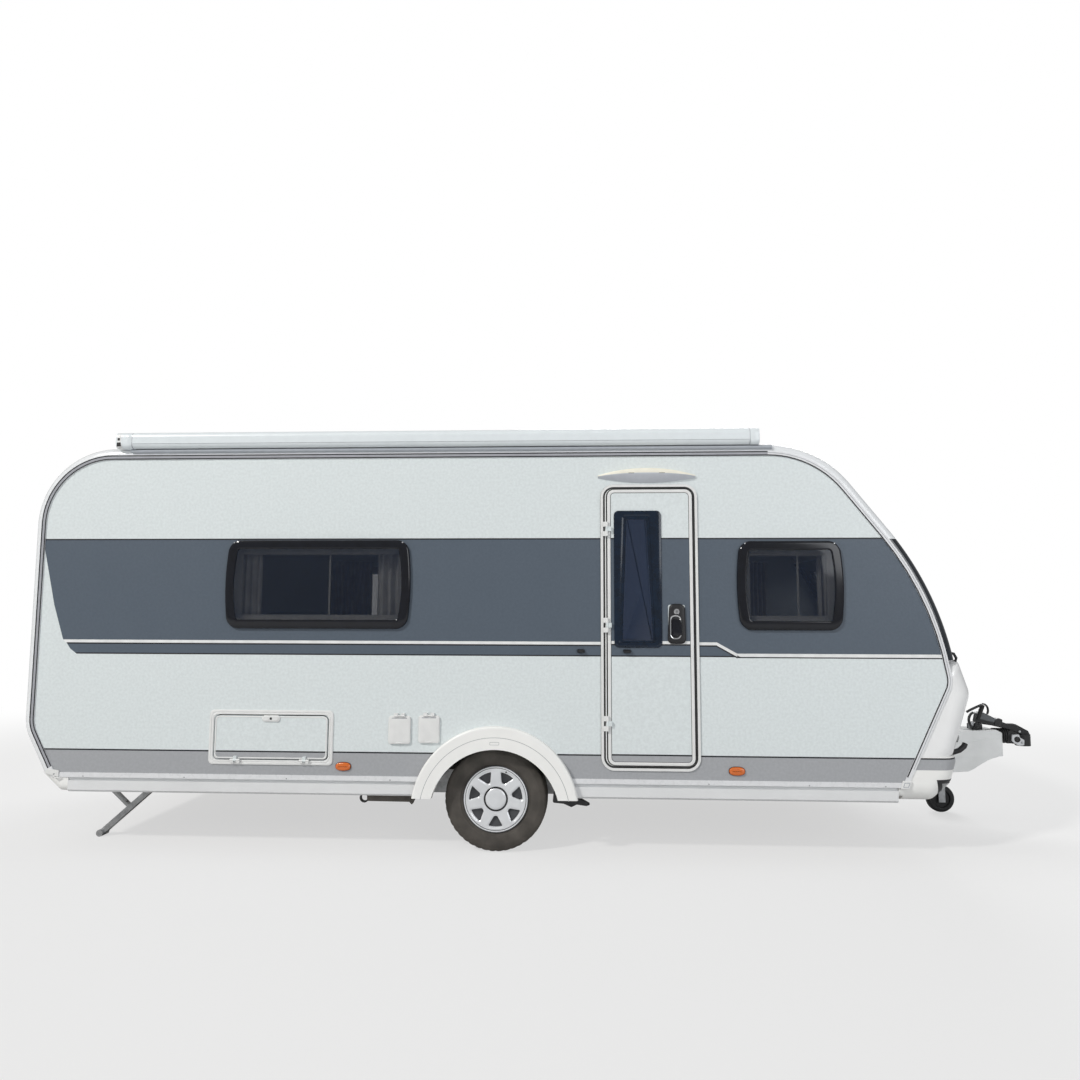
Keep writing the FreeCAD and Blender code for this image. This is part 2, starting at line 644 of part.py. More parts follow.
door_slab = prism("door_slab", "xz", rectangle(*DOOR, d.door_radius - d.rail_width - 2),
                  -d.half_width - d.door_proud, -inner_half)
door_light = prism("door_light", "xz",
                   rectangle(d.light_rear + d.rail_width, d.light_foot + d.rail_width, d.light_front - d.rail_width,
                             d.light_head - d.rail_width, d.light_radius - d.rail_width), -FAR, 0)
handle_front = d.door_front - d.handle_inset
handle_foot = d.light_foot + d.handle_rise
handle_plate = prism("handle_plate", "xz",
                     rectangle(handle_front - d.handle_wide, handle_foot, handle_front, handle_foot + d.handle_tall,
                               d.handle_radius),
                     -d.half_width - d.frame_proud, -d.half_width - 1)
sub_part("door_panel", join("door_panel", [cut("door_leaf", door_slab, door_light), handle_plate] + door_moving))
door_pane = prism("door_pane", "xz",
                  rectangle(d.light_rear, d.light_foot, d.light_front, d.light_head, d.light_radius),
                  -d.half_width - d.door_proud - d.frame_proud, -d.half_width - d.door_proud)
sub_part("door_window", door_pane)

# Hatch and flaps in the right wall


def wall_lid(name, corners, gap, radius, hinge_at, hinge_rotation, stand, proud, depth, share=(0.2, 0.8), length=60):
    """A lid in the right wall with the moving halves of its hinges; also the fixed halves."""
    rear, foot, front, head = corners
    slab = prism(name + "_slab", "xz", rectangle(rear + gap, foot + gap, front - gap, head - gap, radius),
                 -d.half_width - proud, -d.half_width + depth)
    fixed_halves, moving_halves = [], []
    for index, part_way in enumerate(share):
        x = rear + (front - rear) * part_way
        fixed, moving = hinge("%s_hinge_%d" % (name, index), "x",
                              (x, -d.half_width - stand, hinge_at), size(length), stand, size(16),
                              gap + 18, hinge_rotation)
        fixed_halves.append(fixed)
        moving_halves.append(moving)
    return join(name, [slab] + moving_halves), fixed_halves


# Local Z along X, local X up (hinge at the bottom) or down (hinge at the top), local Y inwards
UP = FreeCAD.Rotation(FreeCAD.Vector(0, 0, 1), FreeCAD.Vector(0, 1, 0), FreeCAD.Vector(-1, 0, 0), "ZYX")
DOWN = FreeCAD.Rotation(FreeCAD.Vector(0, 0, -1), FreeCAD.Vector(0, 1, 0), FreeCAD.Vector(1, 0, 0), "ZYX")
hatch_lid, hatch_fixed = wall_lid("hatch_lid", HATCH, d.flap_gap, d.hatch_radius - d.flap_gap * 2, HATCH[1], UP,
                                  d.hinge_stand, d.door_proud, d.wall)
sub_part("hatch_lid", hatch_lid)
service_solids = list(hatch_fixed)
for name, corners in FLAPS.items():
    lid, fixed = wall_lid("service_flap_" + name, corners, d.lip_gap * 5, d.flap_radius - 5, corners[3] + d.flap_gap, DOWN,
                          d.hinge_stand, d.flap_proud, d.flap_depth, share=(0.5,), length=66)
    sub_part("service_flap_" + name, lid)
    rear, foot, front, head = corners
    tray = cut(name + "_tray",
               prism(name + "_tray_block", "xz", rectangle(rear - 4, foot - 4, front + 4, head + 4),
                     -inner_half, -inner_half + d.box_depth),
               prism(name + "_tray_room", "xz", rectangle(rear, foot, front, head),
                     -inner_half - 1, -inner_half + d.box_depth - 4))
    service_solids += [tray] + fixed
sub_part("service_boxes", join("service_boxes", service_solids))

# Gas locker lid, hung on its top edge
LID_TURN = FreeCAD.Rotation(FreeCAD.Vector(0, 0, -1), FreeCAD.Vector(-1, 0, 0), FreeCAD.Vector(0, 1, 0), "ZYX")
lid_axis_x = d.locker_x + 16
lid_axis_z = (d.ledge_height - d.lid_head_gap) - d.flap_gap / 2
lid_fixed, lid_moving = [], []
for index, share in enumerate((-0.7, 0, 0.7)):
    fixed, moving = hinge("lid_hinge_%d" % index, "y",
                          (lid_axis_x, d.lid_half_width * share, lid_axis_z), size(90), size(16), size(14), size(26),
                          LID_TURN)
    lid_fixed.append(fixed)
    lid_moving.append(moving)
sub_part("nose_shell", join("nose_shell", [nose_frame] + lid_fixed))
sub_part("gas_locker_lid", join("gas_locker_lid", [lid_skin] + lid_moving))

# Aluminium rails round both side walls, skirts below them, arch covers

rail_ring = cut("rail_ring", offset_prism("rail_outer", side_sketch, 0, d.half_width + d.rail_proud),
                join("rail_inside", [offset_prism("rail_inner", side_sketch, -d.rail_width, FAR),
                                     offset_prism("rail_between", side_sketch, d.crown, d.half_width)]))
sub_part("side_rails", cut("side_rails", rail_ring,
                           cylinder("arch_clear", "y", (0, -FAR, d.arch_outer_z), d.arch_outer, 2 * FAR)))


def arch_disc(name, radius, height, low, high):
    return cylinder(name, "y", (0, low, height), radius, high - low)


arch_face = -d.half_width - d.arch_proud
arch_solid = arch_disc("arch_solid", d.arch_outer, d.arch_outer_z, arch_face, -d.half_width)
arch_rounded = filleted("arch_rounded", arch_solid, d.arch_round, lambda edge: lies_on(edge, "y", arch_face.value))
arch_channel = cut(
    "arch_channel",
    arch_disc("arch_channel_outer", d.arch_outer - d.arch_skin, d.arch_outer_z, arch_face + d.arch_skin,
              -d.half_width + 1),
    arch_disc("arch_channel_inner", d.arch_inner + d.arch_skin, d.arch_inner_z, arch_face - 1, -d.half_width + 2))
below_skirts = box("below_skirts", (-FAR, -FAR, -FAR), (FAR, FAR, d.skirt_bottom - 3))
arch_cover = cut("arch_cover", arch_rounded,
                 join("arch_inside", [arch_hole("arch_way"), arch_channel, below_skirts]))
sub_part("arch_covers", join("arch_covers", [arch_cover, mirrored("arch_cover_left", arch_cover)]))

skirt_ends = {"rear": (-d.valance_front, -d.arch_inner), "front": (d.arch_inner, d.bumper_rear - d.seam_gap)}
skirt_strips = []
skirt_head = d.rail_bottom - d.seam_gap
for name, (rear, front) in skirt_ends.items():
    strip = prism("skirt_" + name, "yz", [
        (-d.half_width, d.skirt_bottom + d.skirt_drop), (-d.half_width + d.skirt_drop, d.skirt_bottom),
        (-inner_half, d.skirt_bottom), (-inner_half, skirt_head), (-d.half_width + d.skirt_drop, skirt_head),
        (-d.half_width + d.skirt_drop, d.skirt_top), (-d.half_width, d.skirt_top)], rear, front)
    cleared = cut("skirt_%s_cut" % name, strip, arch_hole("skirt_%s_arch" % name))
    skirt_strips += [cleared, mirrored("skirt_%s_left" % name, cleared)]
sub_part("skirts", join("skirts", skirt_strips))

# Front bumper wraps the foot of the nose, rear valance closes the tail

bumper_chin = d.bumper_x - d.chin_setback
bumper_sketch = doc.addObject("Sketcher::SketchObject", "bumper_outline")
bumper_sketch.Placement = side_sketch.Placement
draw(bumper_sketch, [
    (d.bumper_rear, d.bumper_bottom),
    (bumper_chin, d.bumper_bottom, d.wall * 2),
    (d.bumper_x - d.wall, d.chassis_top, d.wall * 3),
    (d.bumper_x + 6, d.bumper_top - d.wall, d.wall),
    (d.bumper_x, d.bumper_top),
    (d.bumper_rear, d.bumper_top),
])


def bumper_corner(edge):
    half = d.half_width.value
    on_face = lies_on(edge, "y", half) or lies_on(edge, "y", -half)
    return on_face and edge.BoundBox.XMax > bumper_chin.value + 1 and edge.BoundBox.ZLength > 5


bumper_block = filleted("bumper_block", offset_prism("bumper_pad", bumper_sketch, 0, d.half_width),
                        d.corner_radius, bumper_corner)
bumper_core = offset_prism("bumper_core", bumper_sketch, -d.bumper_skin, d.half_width - d.corner_radius)
bumper_behind = box("bumper_behind", (0, -inner_half, 0),
                    (d.bumper_rear + d.wall, inner_half, FAR))
bumper_above = box("bumper_above", (0, -inner_half, d.floor_top - d.wall * 2), (bumper_chin, inner_half, FAR))
bumper_under = box("bumper_under", (0, -inner_half + 90, 0), (bumper_chin - 60, inner_half - 90, d.floor_top))
notch = box("notch", (0, -d.drawbar_notch, 0), (FAR, d.drawbar_notch, d.floor_top - 20))
front_bumper = cut("front_bumper", bumper_block, join("bumper_inside", [
    bumper_core, bumper_behind, bumper_above, bumper_under, notch, side_slab,
    nose_block]))

valance_sketch = doc.addObject("Sketcher::SketchObject", "valance_outline")
valance_sketch.Placement = side_sketch.Placement
draw(valance_sketch, [
    (-d.valance_front, d.skirt_bottom),
    (-d.valance_front, floor_bottom),
    (-d.valance_x, floor_bottom),
    (-d.valance_foot, d.skirt_bottom, d.wall * 1.3),
][::-1])


def valance_corner(edge):
    half = d.half_width.value
    on_face = lies_on(edge, "y", half) or lies_on(edge, "y", -half)
    return on_face and edge.BoundBox.XMin < -d.valance_front.value - 1 and edge.BoundBox.ZLength > 5


valance_block = filleted("valance_block", offset_prism("valance_pad", valance_sketch, 0, d.half_width),
                         d.crown, valance_corner)
valance_core = offset_prism("valance_core", valance_sketch, -d.bumper_skin, inner_half)
valance_behind = box("valance_behind", (-d.valance_foot, -inner_half, 0), (0, inner_half, FAR))
rear_valance = cut("rear_valance", valance_block, join("valance_inside", [valance_core, valance_behind, side_slab]))
sub_part("bumpers", join("bumpers", [front_bumper, rear_valance]))

# Roof: awning case on its right edge, two roof lights

awning_foot = d.rail_top + d.awning_lift
awning_outer = -d.half_width - d.awning_proud
awning_body = prism("awning_body", "yz", rectangle(awning_outer, awning_foot, awning_outer + d.awning_depth,
                                                   awning_foot + d.awning_tall,
                                                   d.awning_radius), d.awning_rear, d.awning_front)
shell_cutter = join("shell_cutter", [shell_block, offset_prism("rail_cutter", side_sketch, d.rail_proud,
                                                               d.half_width + d.rail_proud)])
sub_part("awning_case", cut("awning_case", awning_body, shell_cutter))


def roof_light(name, centre, half):
    dome = prism(name, "xy", rectangle(centre - half, -half, centre + half, half, 60), d.rail_top + d.crown,
                 d.rail_top + d.roof_light_tall)
    face = (d.rail_top + d.roof_light_tall).value
    return round_off(dome, name + "_edge", size(20), lambda edge: lies_on(edge, "z", face))


sub_part("roof_lights", join("roof_lights", [roof_light("roof_light", d.roof_light_x, d.roof_light_half),
                                             roof_light("roof_vent", d.vent_x, d.vent_half)]))

# Lamps


def marker_lamp(name, centre):
    half_tall = d.lamp_tall / 2
    body = prism(name, "xz", rectangle(centre - d.lamp_half, d.lamp_height - half_tall, centre + d.lamp_half,
                                       d.lamp_height + half_tall, half_tall - 1),
                 -d.half_width - d.lamp_proud, -d.half_width)
    return round_off(body, name + "_edge", size(6), lambda edge: lies_on(edge, "y", (-d.half_width - d.lamp_proud).value))


canopy_foot = d.door_head + d.canopy_rise
canopy = prism("canopy", "xz", rectangle(d.canopy_rear, canopy_foot, d.canopy_front, canopy_foot + d.canopy_tall, 22),
               -d.half_width - d.canopy_proud, -d.half_width)
round_off(canopy, "canopy_edge", size(16), lambda edge: lies_on(edge, "y", (-d.half_width - d.canopy_proud).value))
marker_lamps = [marker_lamp("marker_rear", d.rear_lamp_x), marker_lamp("marker_front", d.front_lamp_x)]
sub_part("side_lamps", join("side_lamps", marker_lamps + [mirrored(lamp.Name + "_left", lamp) for lamp in marker_lamps]
                            + [canopy]))
tail_face = -d.rail_rear - d.crown - d.tail_proud
tail_lamp = prism("tail_lamp", "yz", rectangle(-d.tail_outer, d.tail_foot, -d.tail_inner, d.tail_head, 40),
                  tail_face, -d.rail_rear - d.crown)
round_off(tail_lamp, "tail_lamp_edge", size(8), lambda edge: lies_on(edge, "x", tail_face.value))
sub_part("tail_lamps", join("tail_lamps", [tail_lamp, mirrored("tail_lamp_left", tail_lamp)]))

# Chassis: a channel each side, bent inwards to the coupling at its knee

chassis_bottom = d.chassis_top - d.chassis_depth
arm_bottom = d.chassis_top - d.arm_depth


def bent_strip(inner, outer):
    """Plan outline of a strip along the right-hand rail and drawbar arm, between two offsets inwards."""
    return [
        (-d.chassis_rear, -d.rail_y + inner), (-d.chassis_rear, -d.rail_y + outer),
        (d.knee_x, -d.rail_y + outer), (d.arm_end_x, -d.arm_end_y + outer),
        (d.arm_end_x, -d.arm_end_y + inner), (d.knee_x, -d.rail_y + inner),
    ][::-1]


flange_top = prism("flange_top", "xy", bent_strip(0, d.flange), d.chassis_top - d.gauge, d.chassis_top)
flange_low = prism("flange_low", "xy", bent_strip(0, d.flange), chassis_bottom, chassis_bottom + d.gauge)
flange_arm = prism("flange_arm", "xy", bent_strip(0, d.flange), arm_bottom, arm_bottom + d.gauge)
web = prism("web", "xy", bent_strip(0, d.gauge), chassis_bottom, d.chassis_top)
below_arm = prism("below_arm", "xz", [(d.knee_x, 0), (FAR, 0), (FAR, arm_bottom),
                                      (d.knee_x + d.chassis_depth, arm_bottom), (d.knee_x, chassis_bottom)],
                  -FAR, FAR)
arm_only = box("arm_only", (d.knee_x + d.chassis_depth, -FAR, 0), (FAR, FAR, FAR))
channel = cut("channel", join("channel_solid", [flange_top, flange_low, web]), below_arm)
lightening = [cylinder("lightening_%d" % index, "y", (place_x, -d.rail_y - d.flange, chassis_bottom + d.chassis_depth / 2),
                       d.hub_cap_radius * 0.75, 2 * d.flange)
              for index, place_x in enumerate([size(x) for x in (-2350, -1750, -1400, -1050, -700, 450, 700, 1200)])]
beam_low = d.axle_beam_z - d.axle_side / 2
axle_way = box("axle_way", (d.axle_lead, -d.axle_half, beam_low),
               (d.axle_lead + d.axle_side, d.axle_half, beam_low + d.axle_side))
bent_rail = cut("bent_rail", join("bent_rail_solid", [channel, common("arm_flange", flange_arm, arm_only)]),
                join("lightening", lightening + [axle_way]))
behind_knee = box("behind_knee", (-FAR, -FAR, 0), (d.knee_x, FAR, FAR))
rail_right = common("rail_right", bent_rail, behind_knee)
arm_right = cut("arm_right", bent_rail, behind_knee)
sub_part("chassis_rail_right", rail_right)
mirror_part("chassis_rail_left", rail_right)
sub_part("drawbar_arm_right", arm_right)
mirror_part("drawbar_arm_left", arm_right)


def cross_bar(name, rear):
    half = d.rail_y - d.gauge
    tube = box(name + "_tube", (rear, -half, d.chassis_top - d.gauge * 2 - d.cross_wide),
               (rear + d.cross_wide, half, d.chassis_top - d.gauge * 2))
    room = box(name + "_room", (rear + d.gauge, -half - 1, d.chassis_top - d.gauge - d.cross_wide),
               (rear + d.cross_wide - d.gauge, half + 1, d.chassis_top - d.gauge * 3))
    return cut(name, tube, room)


sub_part("cross_members", join("cross_members", [cross_bar("cross_rear", d.cross_rear),
                                                 cross_bar("cross_mid", d.cross_mid),
                                                 cross_bar("cross_front", d.cross_front)]))

# Axle: a beam under the rails, a trailing arm with its stub each side

axle_tube = cut("axle_tube",
                box("axle_outer", (d.axle_lead, -d.axle_half, beam_low), (d.axle_lead + d.axle_side, d.axle_half,
                                                                          beam_low + d.axle_side)),
                box("axle_room", (d.axle_lead + d.gauge, -d.axle_half - 1, beam_low + d.gauge),
                    (d.axle_lead + d.axle_side - d.gauge, d.axle_half + 1, beam_low + d.axle_side - d.gauge)))
sub_part("axle_beam", axle_tube)
arm_y = -d.axle_half - d.arm_thick
drum_in = -(d.wheel_outer - d.tyre_width) - 6
arm_plate = prism("arm_plate", "xz", [
    (-d.stub_radius * 2, d.tyre_radius - d.stub_radius * 2, d.stub_radius * 1.9),
    (d.axle_lead + d.axle_side, beam_low, 12), (d.axle_lead + d.axle_side, beam_low + d.axle_side, 12),
    (-d.stub_radius * 2, d.tyre_radius + d.stub_radius * 2, d.stub_radius * 1.9)], arm_y, -d.axle_half - 0.3)
back_plate = cylinder("back_plate", "y", (0, drum_in, d.tyre_radius), d.drum_radius, size(6))
sleeve = cylinder("arm_sleeve", "y", (0, drum_in, d.tyre_radius), d.stub_radius * 1.8, arm_y - drum_in + d.arm_thick)
stub = cylinder("stub", "y", (0, drum_in - d.drum_depth - 20, d.tyre_radius), d.stub_radius, d.drum_depth + 30)
shaft = cylinder("arm_shaft", "y", (d.axle_lead + d.axle_side / 2, arm_y, d.axle_beam_z), d.stub_radius * 1.5,
                 d.arm_thick + 80)
trailing_arm = join("trailing_arm", [arm_plate, back_plate, sleeve, stub, shaft])
sub_part("trailing_arms", join("trailing_arms", [trailing_arm, mirrored("trailing_arm_left", trailing_arm)]))

# Wheels: tyre, and a seven-window rim with its drum, turning on the stub

tyre_in, tyre_out = -(d.wheel_outer - d.tyre_width), -d.wheel_outer
shoulder = d.tyre_width * 0.12
tyre_body = turned("tyre_body", [
    (tyre_out + shoulder * 0.7, d.rim_lip, 8), (tyre_in - shoulder * 0.7, d.rim_lip, 8),
    (tyre_in, d.rim_lip + 50, 45), (tyre_in - shoulder * 0.35, d.tyre_radius - 4, 22),
    (tyre_in - shoulder * 1.6, d.tyre_radius, 30), (tyre_out + shoulder * 1.6, d.tyre_radius, 30),
    (tyre_out + shoulder * 0.35, d.tyre_radius - 4, 22), (tyre_out, d.rim_lip + 50, 45),
][::-1])
wheel_z = d.tyre_radius


def lift(feature, height):
    bind(feature, "Placement.Base.z", height)
    return feature


sub_part("tyre_right", lift(tyre_body, wheel_z))
mirror_part("tyre_left", tyre_body)
hub_bore = d.stub_radius + d.running_gap
face_y = tyre_out + 4
bore_end = drum_in - d.drum_depth - 24
rim = turned("rim", [
    (tyre_out + 17, 0), (tyre_out + 17, d.hub_cap_radius - 8, 6), (tyre_out + 27, d.hub_cap_radius),
    (tyre_out + 31, d.window_inner, 10), (tyre_out + 15, d.rim_lip - 14, 6), (face_y, d.rim_lip - 2),
    (face_y, d.rim_radius, 3), (face_y + 7, d.rim_radius), (face_y + 7, d.rim_lip), (tyre_in - 11, d.rim_lip),
    (tyre_in - 11, d.rim_radius), (tyre_in - 4, d.rim_radius), (tyre_in - 4, d.rim_lip - d.rim_skin),
    (tyre_out + 55, d.rim_lip - d.rim_skin), (tyre_out + 49, d.window_outer + 3, 6),
    (tyre_out + 57, d.window_inner), (tyre_out + 65, d.hub_cap_radius), (drum_in - d.drum_depth, d.hub_cap_radius),
    (drum_in - d.drum_depth, d.drum_radius), (drum_in - 2, d.drum_radius), (drum_in - 2, hub_bore),
    (bore_end, hub_bore), (bore_end, 0)][::-1])
window_sketch = body_sketch(rim, "rim_window", "xz", [
    (-d.window_half_in, d.window_inner + 4, 9), (d.window_half_in, d.window_inner + 4, 9),
    (d.window_half_out, d.window_outer, 11), (-d.window_half_out, d.window_outer, 11)], -d.wheel_outer - 2)
window_cut = rim.newObject("PartDesign::Pocket", "rim_window_cut")
window_cut.Profile = window_sketch
bind(window_cut, "Length", size(72))
wheel_pattern = rim.newObject("PartDesign::PolarPattern", "rim_windows")
wheel_pattern.Originals = [window_cut]
wheel_pattern.Axis = ([item for item in rim.Origin.OriginFeatures if item.Role == "Y_Axis"][0], [""])
wheel_pattern.Angle = 360
wheel_pattern.Occurrences = int(d.spoke_count.value)
rim.Tip = wheel_pattern
sub_part("rim_right", lift(rim, wheel_z))
mirror_part("rim_left", rim)

# Drawbar: cover, overrun tube, coupling head, handbrake lever


def taper(name, rear_half, front_half, rear, front):
    return prism(name, "xy", [(rear, -rear_half), (front, -front_half, d.bellows_radius),
                              (front, front_half, d.bellows_radius), (rear, rear_half)], 0, FAR)


cover_foot = d.chassis_top + d.cover_lap


def cover_side(name, inset):
    return prism(name, "xz", [
        (d.cover_rear + inset, cover_foot - inset * 3), (d.cover_front - inset, cover_foot - inset * 3),
        (d.cover_front - inset, d.tube_z + d.bellows_radius - inset, 24),
        (d.cover_front - 60, d.cover_top + 6 - inset, 40),
        (d.cover_rear + 420, d.cover_top - inset, 90), (d.cover_rear + inset, d.cover_top - 95 - inset, 30)],
                 -FAR, FAR)


cover_outer = common("cover_outer", cover_side("cover_side", 0),
                     taper("cover_taper", d.cover_half_rear, d.cover_half_front, d.cover_rear, d.cover_front))
cover_inner = common("cover_inner", cover_side("cover_room", d.cover_skin),
                     taper("cover_room_taper", d.cover_half_rear - d.cover_skin, d.cover_half_front - d.cover_skin,
                           d.cover_rear + d.cover_skin, d.cover_front - d.cover_skin))
lever_root_y = -d.arm_end_y + 14
lever_mid_y = lever_root_y - 18
lever_slot = box("lever_slot", (d.lever_x - 40, lever_mid_y - d.lever_room, d.tube_z),
                 (d.lever_x + 130, lever_mid_y + d.lever_room, FAR))
tube_way = cylinder("tube_way", "x", (d.bellows_rear - 40, 0, d.tube_z), d.bellows_radius + 2, size(400))
cover_wall = cut("cover_wall", cover_outer, join("cover_ways", [cover_inner, lever_slot, tube_way]))
housing_top = d.tube_z + 34
cover_boss = cylinder("cover_boss", "z", (d.arm_end_x - 20, d.lever_room * 1.5, housing_top), d.lever_room * 0.75,
                      d.cover_top - d.cover_skin / 2 - housing_top)
sub_part("drawbar_cover", join("drawbar_cover", [cover_wall, cover_boss]))

bellows = doc.addObject("PartDesign::Body", "bellows")
ridges = []
folds = 6
fold = (d.head_rear - d.bellows_rear) / folds
for index in range(folds):
    ridges.append((d.bellows_rear + fold * index, d.bellows_radius - 7))
    ridges.append((d.bellows_rear + fold * (index + 0.5), d.bellows_radius))
bellows_sketch = body_sketch(bellows, "bellows_outline", "xz",
                             [(d.bellows_rear, 0), (d.head_rear, 0), (d.head_rear, d.bellows_radius - 7)]
                             + ridges[::-1])
bellows_turn = bellows.newObject("PartDesign::Revolution", "bellows_turn")
bellows_turn.Profile = bellows_sketch
bellows_turn.ReferenceAxis = (bellows_sketch, ["H_Axis"])
bellows_turn.Angle = 360
lift(bellows, d.tube_z)
tube = cylinder("overrun_bar", "x", (d.tube_rear, 0, d.tube_z), d.tube_radius, d.head_rear - d.tube_rear)
housing = prism("overrun_housing", "xz", [
    (d.tube_rear + 20, d.chassis_top), (d.arm_end_x, d.chassis_top), (d.arm_end_x + 60, d.tube_z - 30, 20),
    (d.arm_end_x + 60, housing_top, 10), (d.tube_rear + 20, housing_top, 10)], -d.arm_end_y + 14, d.arm_end_y - 14)
sub_part("overrun_tube", join("overrun_tube", [tube, housing, bellows]))

head_neck = box("head_neck", (d.head_rear, -32, d.tube_z - 36), (d.ball_x, size(32), d.head_top))
head_cup = cylinder("head_cup", "z", (d.ball_x, 0, d.head_foot), d.head_radius, d.head_top - d.head_foot)
head_handle = prism("head_handle", "xz", [
    (d.head_rear + 10, d.head_top - 1), (d.ball_x + d.head_radius - 8, d.head_top - 1),
    (d.ball_x + d.head_radius - 20, d.head_top + 26, 12), (d.head_rear + 70, d.head_top + 74, 12),
    (d.head_rear - 30, d.head_top + 74, 10), (d.head_rear - 30, d.head_top + 58, 6),
    (d.head_rear + 40, d.head_top + 50, 10)], size(-22), size(22))
socket = cylinder("socket", "z", (d.ball_x, 0, d.head_foot - 1), d.ball_radius + d.socket_gap, size(46))
sub_part("coupling_head", cut("coupling_head", join("head_solid", [head_neck, head_cup, head_handle]), socket))

lever = cylinder("lever_bar", "z", (d.lever_x, lever_mid_y, d.tube_z - 36), size(9), d.lever_length)
lever.Placement = FreeCAD.Placement(FreeCAD.Vector(), FreeCAD.Rotation(Y_AXIS, 90 - d.lever_angle.value))
place(lever, d.lever_x, lever_mid_y, d.tube_z - 36)
lever_boss = cylinder("lever_boss", "y", (d.lever_x, lever_root_y - 30, d.tube_z - 36), size(22), size(30))
sub_part("handbrake_lever", join("handbrake_lever", [lever, lever_boss]))

# Jockey wheel: sleeve clamped to the left arm, stem that slides, fork that swivels, wheel
sleeve_solid = join("sleeve_solid", [
    cylinder("sleeve_tube", "z", (d.jockey_x, d.jockey_y, d.sleeve_foot), d.sleeve_radius, d.sleeve_top - d.sleeve_foot),
    cylinder("sleeve_clamp", "z", (d.jockey_x, d.jockey_y, d.sleeve_foot), d.sleeve_radius + 10, size(60)),
    box("clamp_block", (d.jockey_x - 34, d.arm_end_y, d.sleeve_foot - d.clamp_drop),
        (d.jockey_x + 34, d.jockey_y, d.sleeve_foot + d.clamp_rise))])
stem_bore = cylinder("stem_bore", "z", (d.jockey_x, d.jockey_y, 0), d.stem_radius + d.slide_gap,
                     d.sleeve_top - 12)
clamp_away = mirrored("clamp_away", prism("clamp_inside", "xy", bent_strip(0, d.rail_y), 0, FAR))
crank = [cylinder("crank_post", "z", (d.jockey_x, d.jockey_y, d.sleeve_top), size(9), size(36)),
         cylinder("crank_arm", "x", (d.jockey_x - 6, d.jockey_y, d.sleeve_top + 30), size(8), size(120)),
         cylinder("crank_grip", "z", (d.jockey_x + 108, d.jockey_y, d.sleeve_top + 30), size(13), size(70))]
sub_part("jockey_sleeve", join("jockey_sleeve", [cut("sleeve", sleeve_solid, join("sleeve_ways", [stem_bore, clamp_away]))]
                               + crank))
spigot = d.stem_radius / 2
sub_part("jockey_stem", join("jockey_stem", [
    cylinder("stem", "z", (d.jockey_x, d.jockey_y, d.stem_foot), d.stem_radius, d.stem_top - d.stem_foot),
    cylinder("stem_spigot", "z", (d.jockey_x, d.jockey_y, d.fork_top - 20), spigot, size(40))]))
fork_half = d.jockey_width / 2 + d.fork_gap
fork_cheek = d.pin_radius * 3
fork = join("fork", [
    cylinder("fork_crown", "z", (d.jockey_x, d.jockey_y, d.fork_top - 12), fork_half + d.fork_skin - 1, size(12)),
    box("fork_left", (d.jockey_x - fork_cheek, d.jockey_y + fork_half, d.jockey_radius - fork_cheek),
        (d.jockey_x + fork_cheek, d.jockey_y + fork_half + d.fork_skin, d.fork_top)),
    box("fork_right", (d.jockey_x - fork_cheek, d.jockey_y - fork_half - d.fork_skin, d.jockey_radius - fork_cheek),
        (d.jockey_x + fork_cheek, d.jockey_y - fork_half, d.fork_top)),
    cylinder("fork_pin", "y", (d.jockey_x, d.jockey_y - fork_half - d.fork_skin, d.jockey_radius), d.pin_radius,
             (fork_half + d.fork_skin) * 2)])
sub_part("jockey_fork", cut("jockey_fork", fork, cylinder("spigot_bore", "z", (d.jockey_x, d.jockey_y, d.fork_top - 30),
                                                           spigot + d.running_gap, size(60))))
half = d.jockey_width / 2
jockey_wheel = turned("jockey_wheel", [
    (-half - d.fork_gap + 1, d.pin_radius + d.running_gap), (half + d.fork_gap - 1, d.pin_radius + d.running_gap),
    (half + d.fork_gap - 1, d.pin_radius * 2), (half - 12, d.pin_radius * 2.4, 4), (half - 12, d.jockey_radius * 0.62, 4),
    (half, d.jockey_radius * 0.66, 6), (half, d.jockey_radius, 18), (-half, d.jockey_radius, 18),
    (-half, d.jockey_radius * 0.66, 6), (-half + 12, d.jockey_radius * 0.62, 4), (-half + 12, d.pin_radius * 2.4, 4),
    (-half - d.fork_gap + 1, d.pin_radius * 2)])
sub_part("jockey_wheel", jockey_wheel, moved=False)
place(jockey_wheel, shift + d.jockey_x, d.jockey_y, d.jockey_radius)

# Corner steadies. A brace turns on the mount, a leg turns on the brace, and the leg's fork rides the spindle.
# Both are drawn along X with their own pivot at the origin.


def arcsine(ratio):
    return Size(math.degrees(math.asin(ratio.value)), "(asin(%s) / 1deg)" % ratio.text)


parked_angle = arcsine((d.steady_z - d.foot_radius) / d.leg_length)
foot_reach = d.leg_length - d.brace_length


def both_sides(name, maker):
    """A solid and its twin across the middle plane."""
    first = maker(name)
    return [first, mirrored(name + "_twin", first)]


def brace_solid(name):
    plates = both_sides(name + "_plate", lambda label: box(
        label, (0, d.brace_y, -d.brace_half), (d.brace_length, d.brace_y + d.brace_skin, d.brace_half)))
    ends = []
    for end, at in (("root", 0), ("tip", d.brace_length)):
        ends += both_sides("%s_%s" % (name, end), lambda label: cylinder(
            label, "y", (at, d.brace_y, 0), d.brace_half, d.brace_skin))
    spacer = cylinder(name + "_spacer", "y", (d.brace_length - 48, -d.brace_y, 0), d.steady_pin, d.brace_y * 2)
    bores = [cylinder("%s_bore_%s" % (name, end), "y", (at, -FAR, 0), d.steady_pin + d.running_gap, 2 * FAR)
             for end, at in (("root", 0), ("tip", d.brace_length))]
    return cut(name, join(name + "_solid", plates + ends + [spacer]), join(name + "_bores", bores))


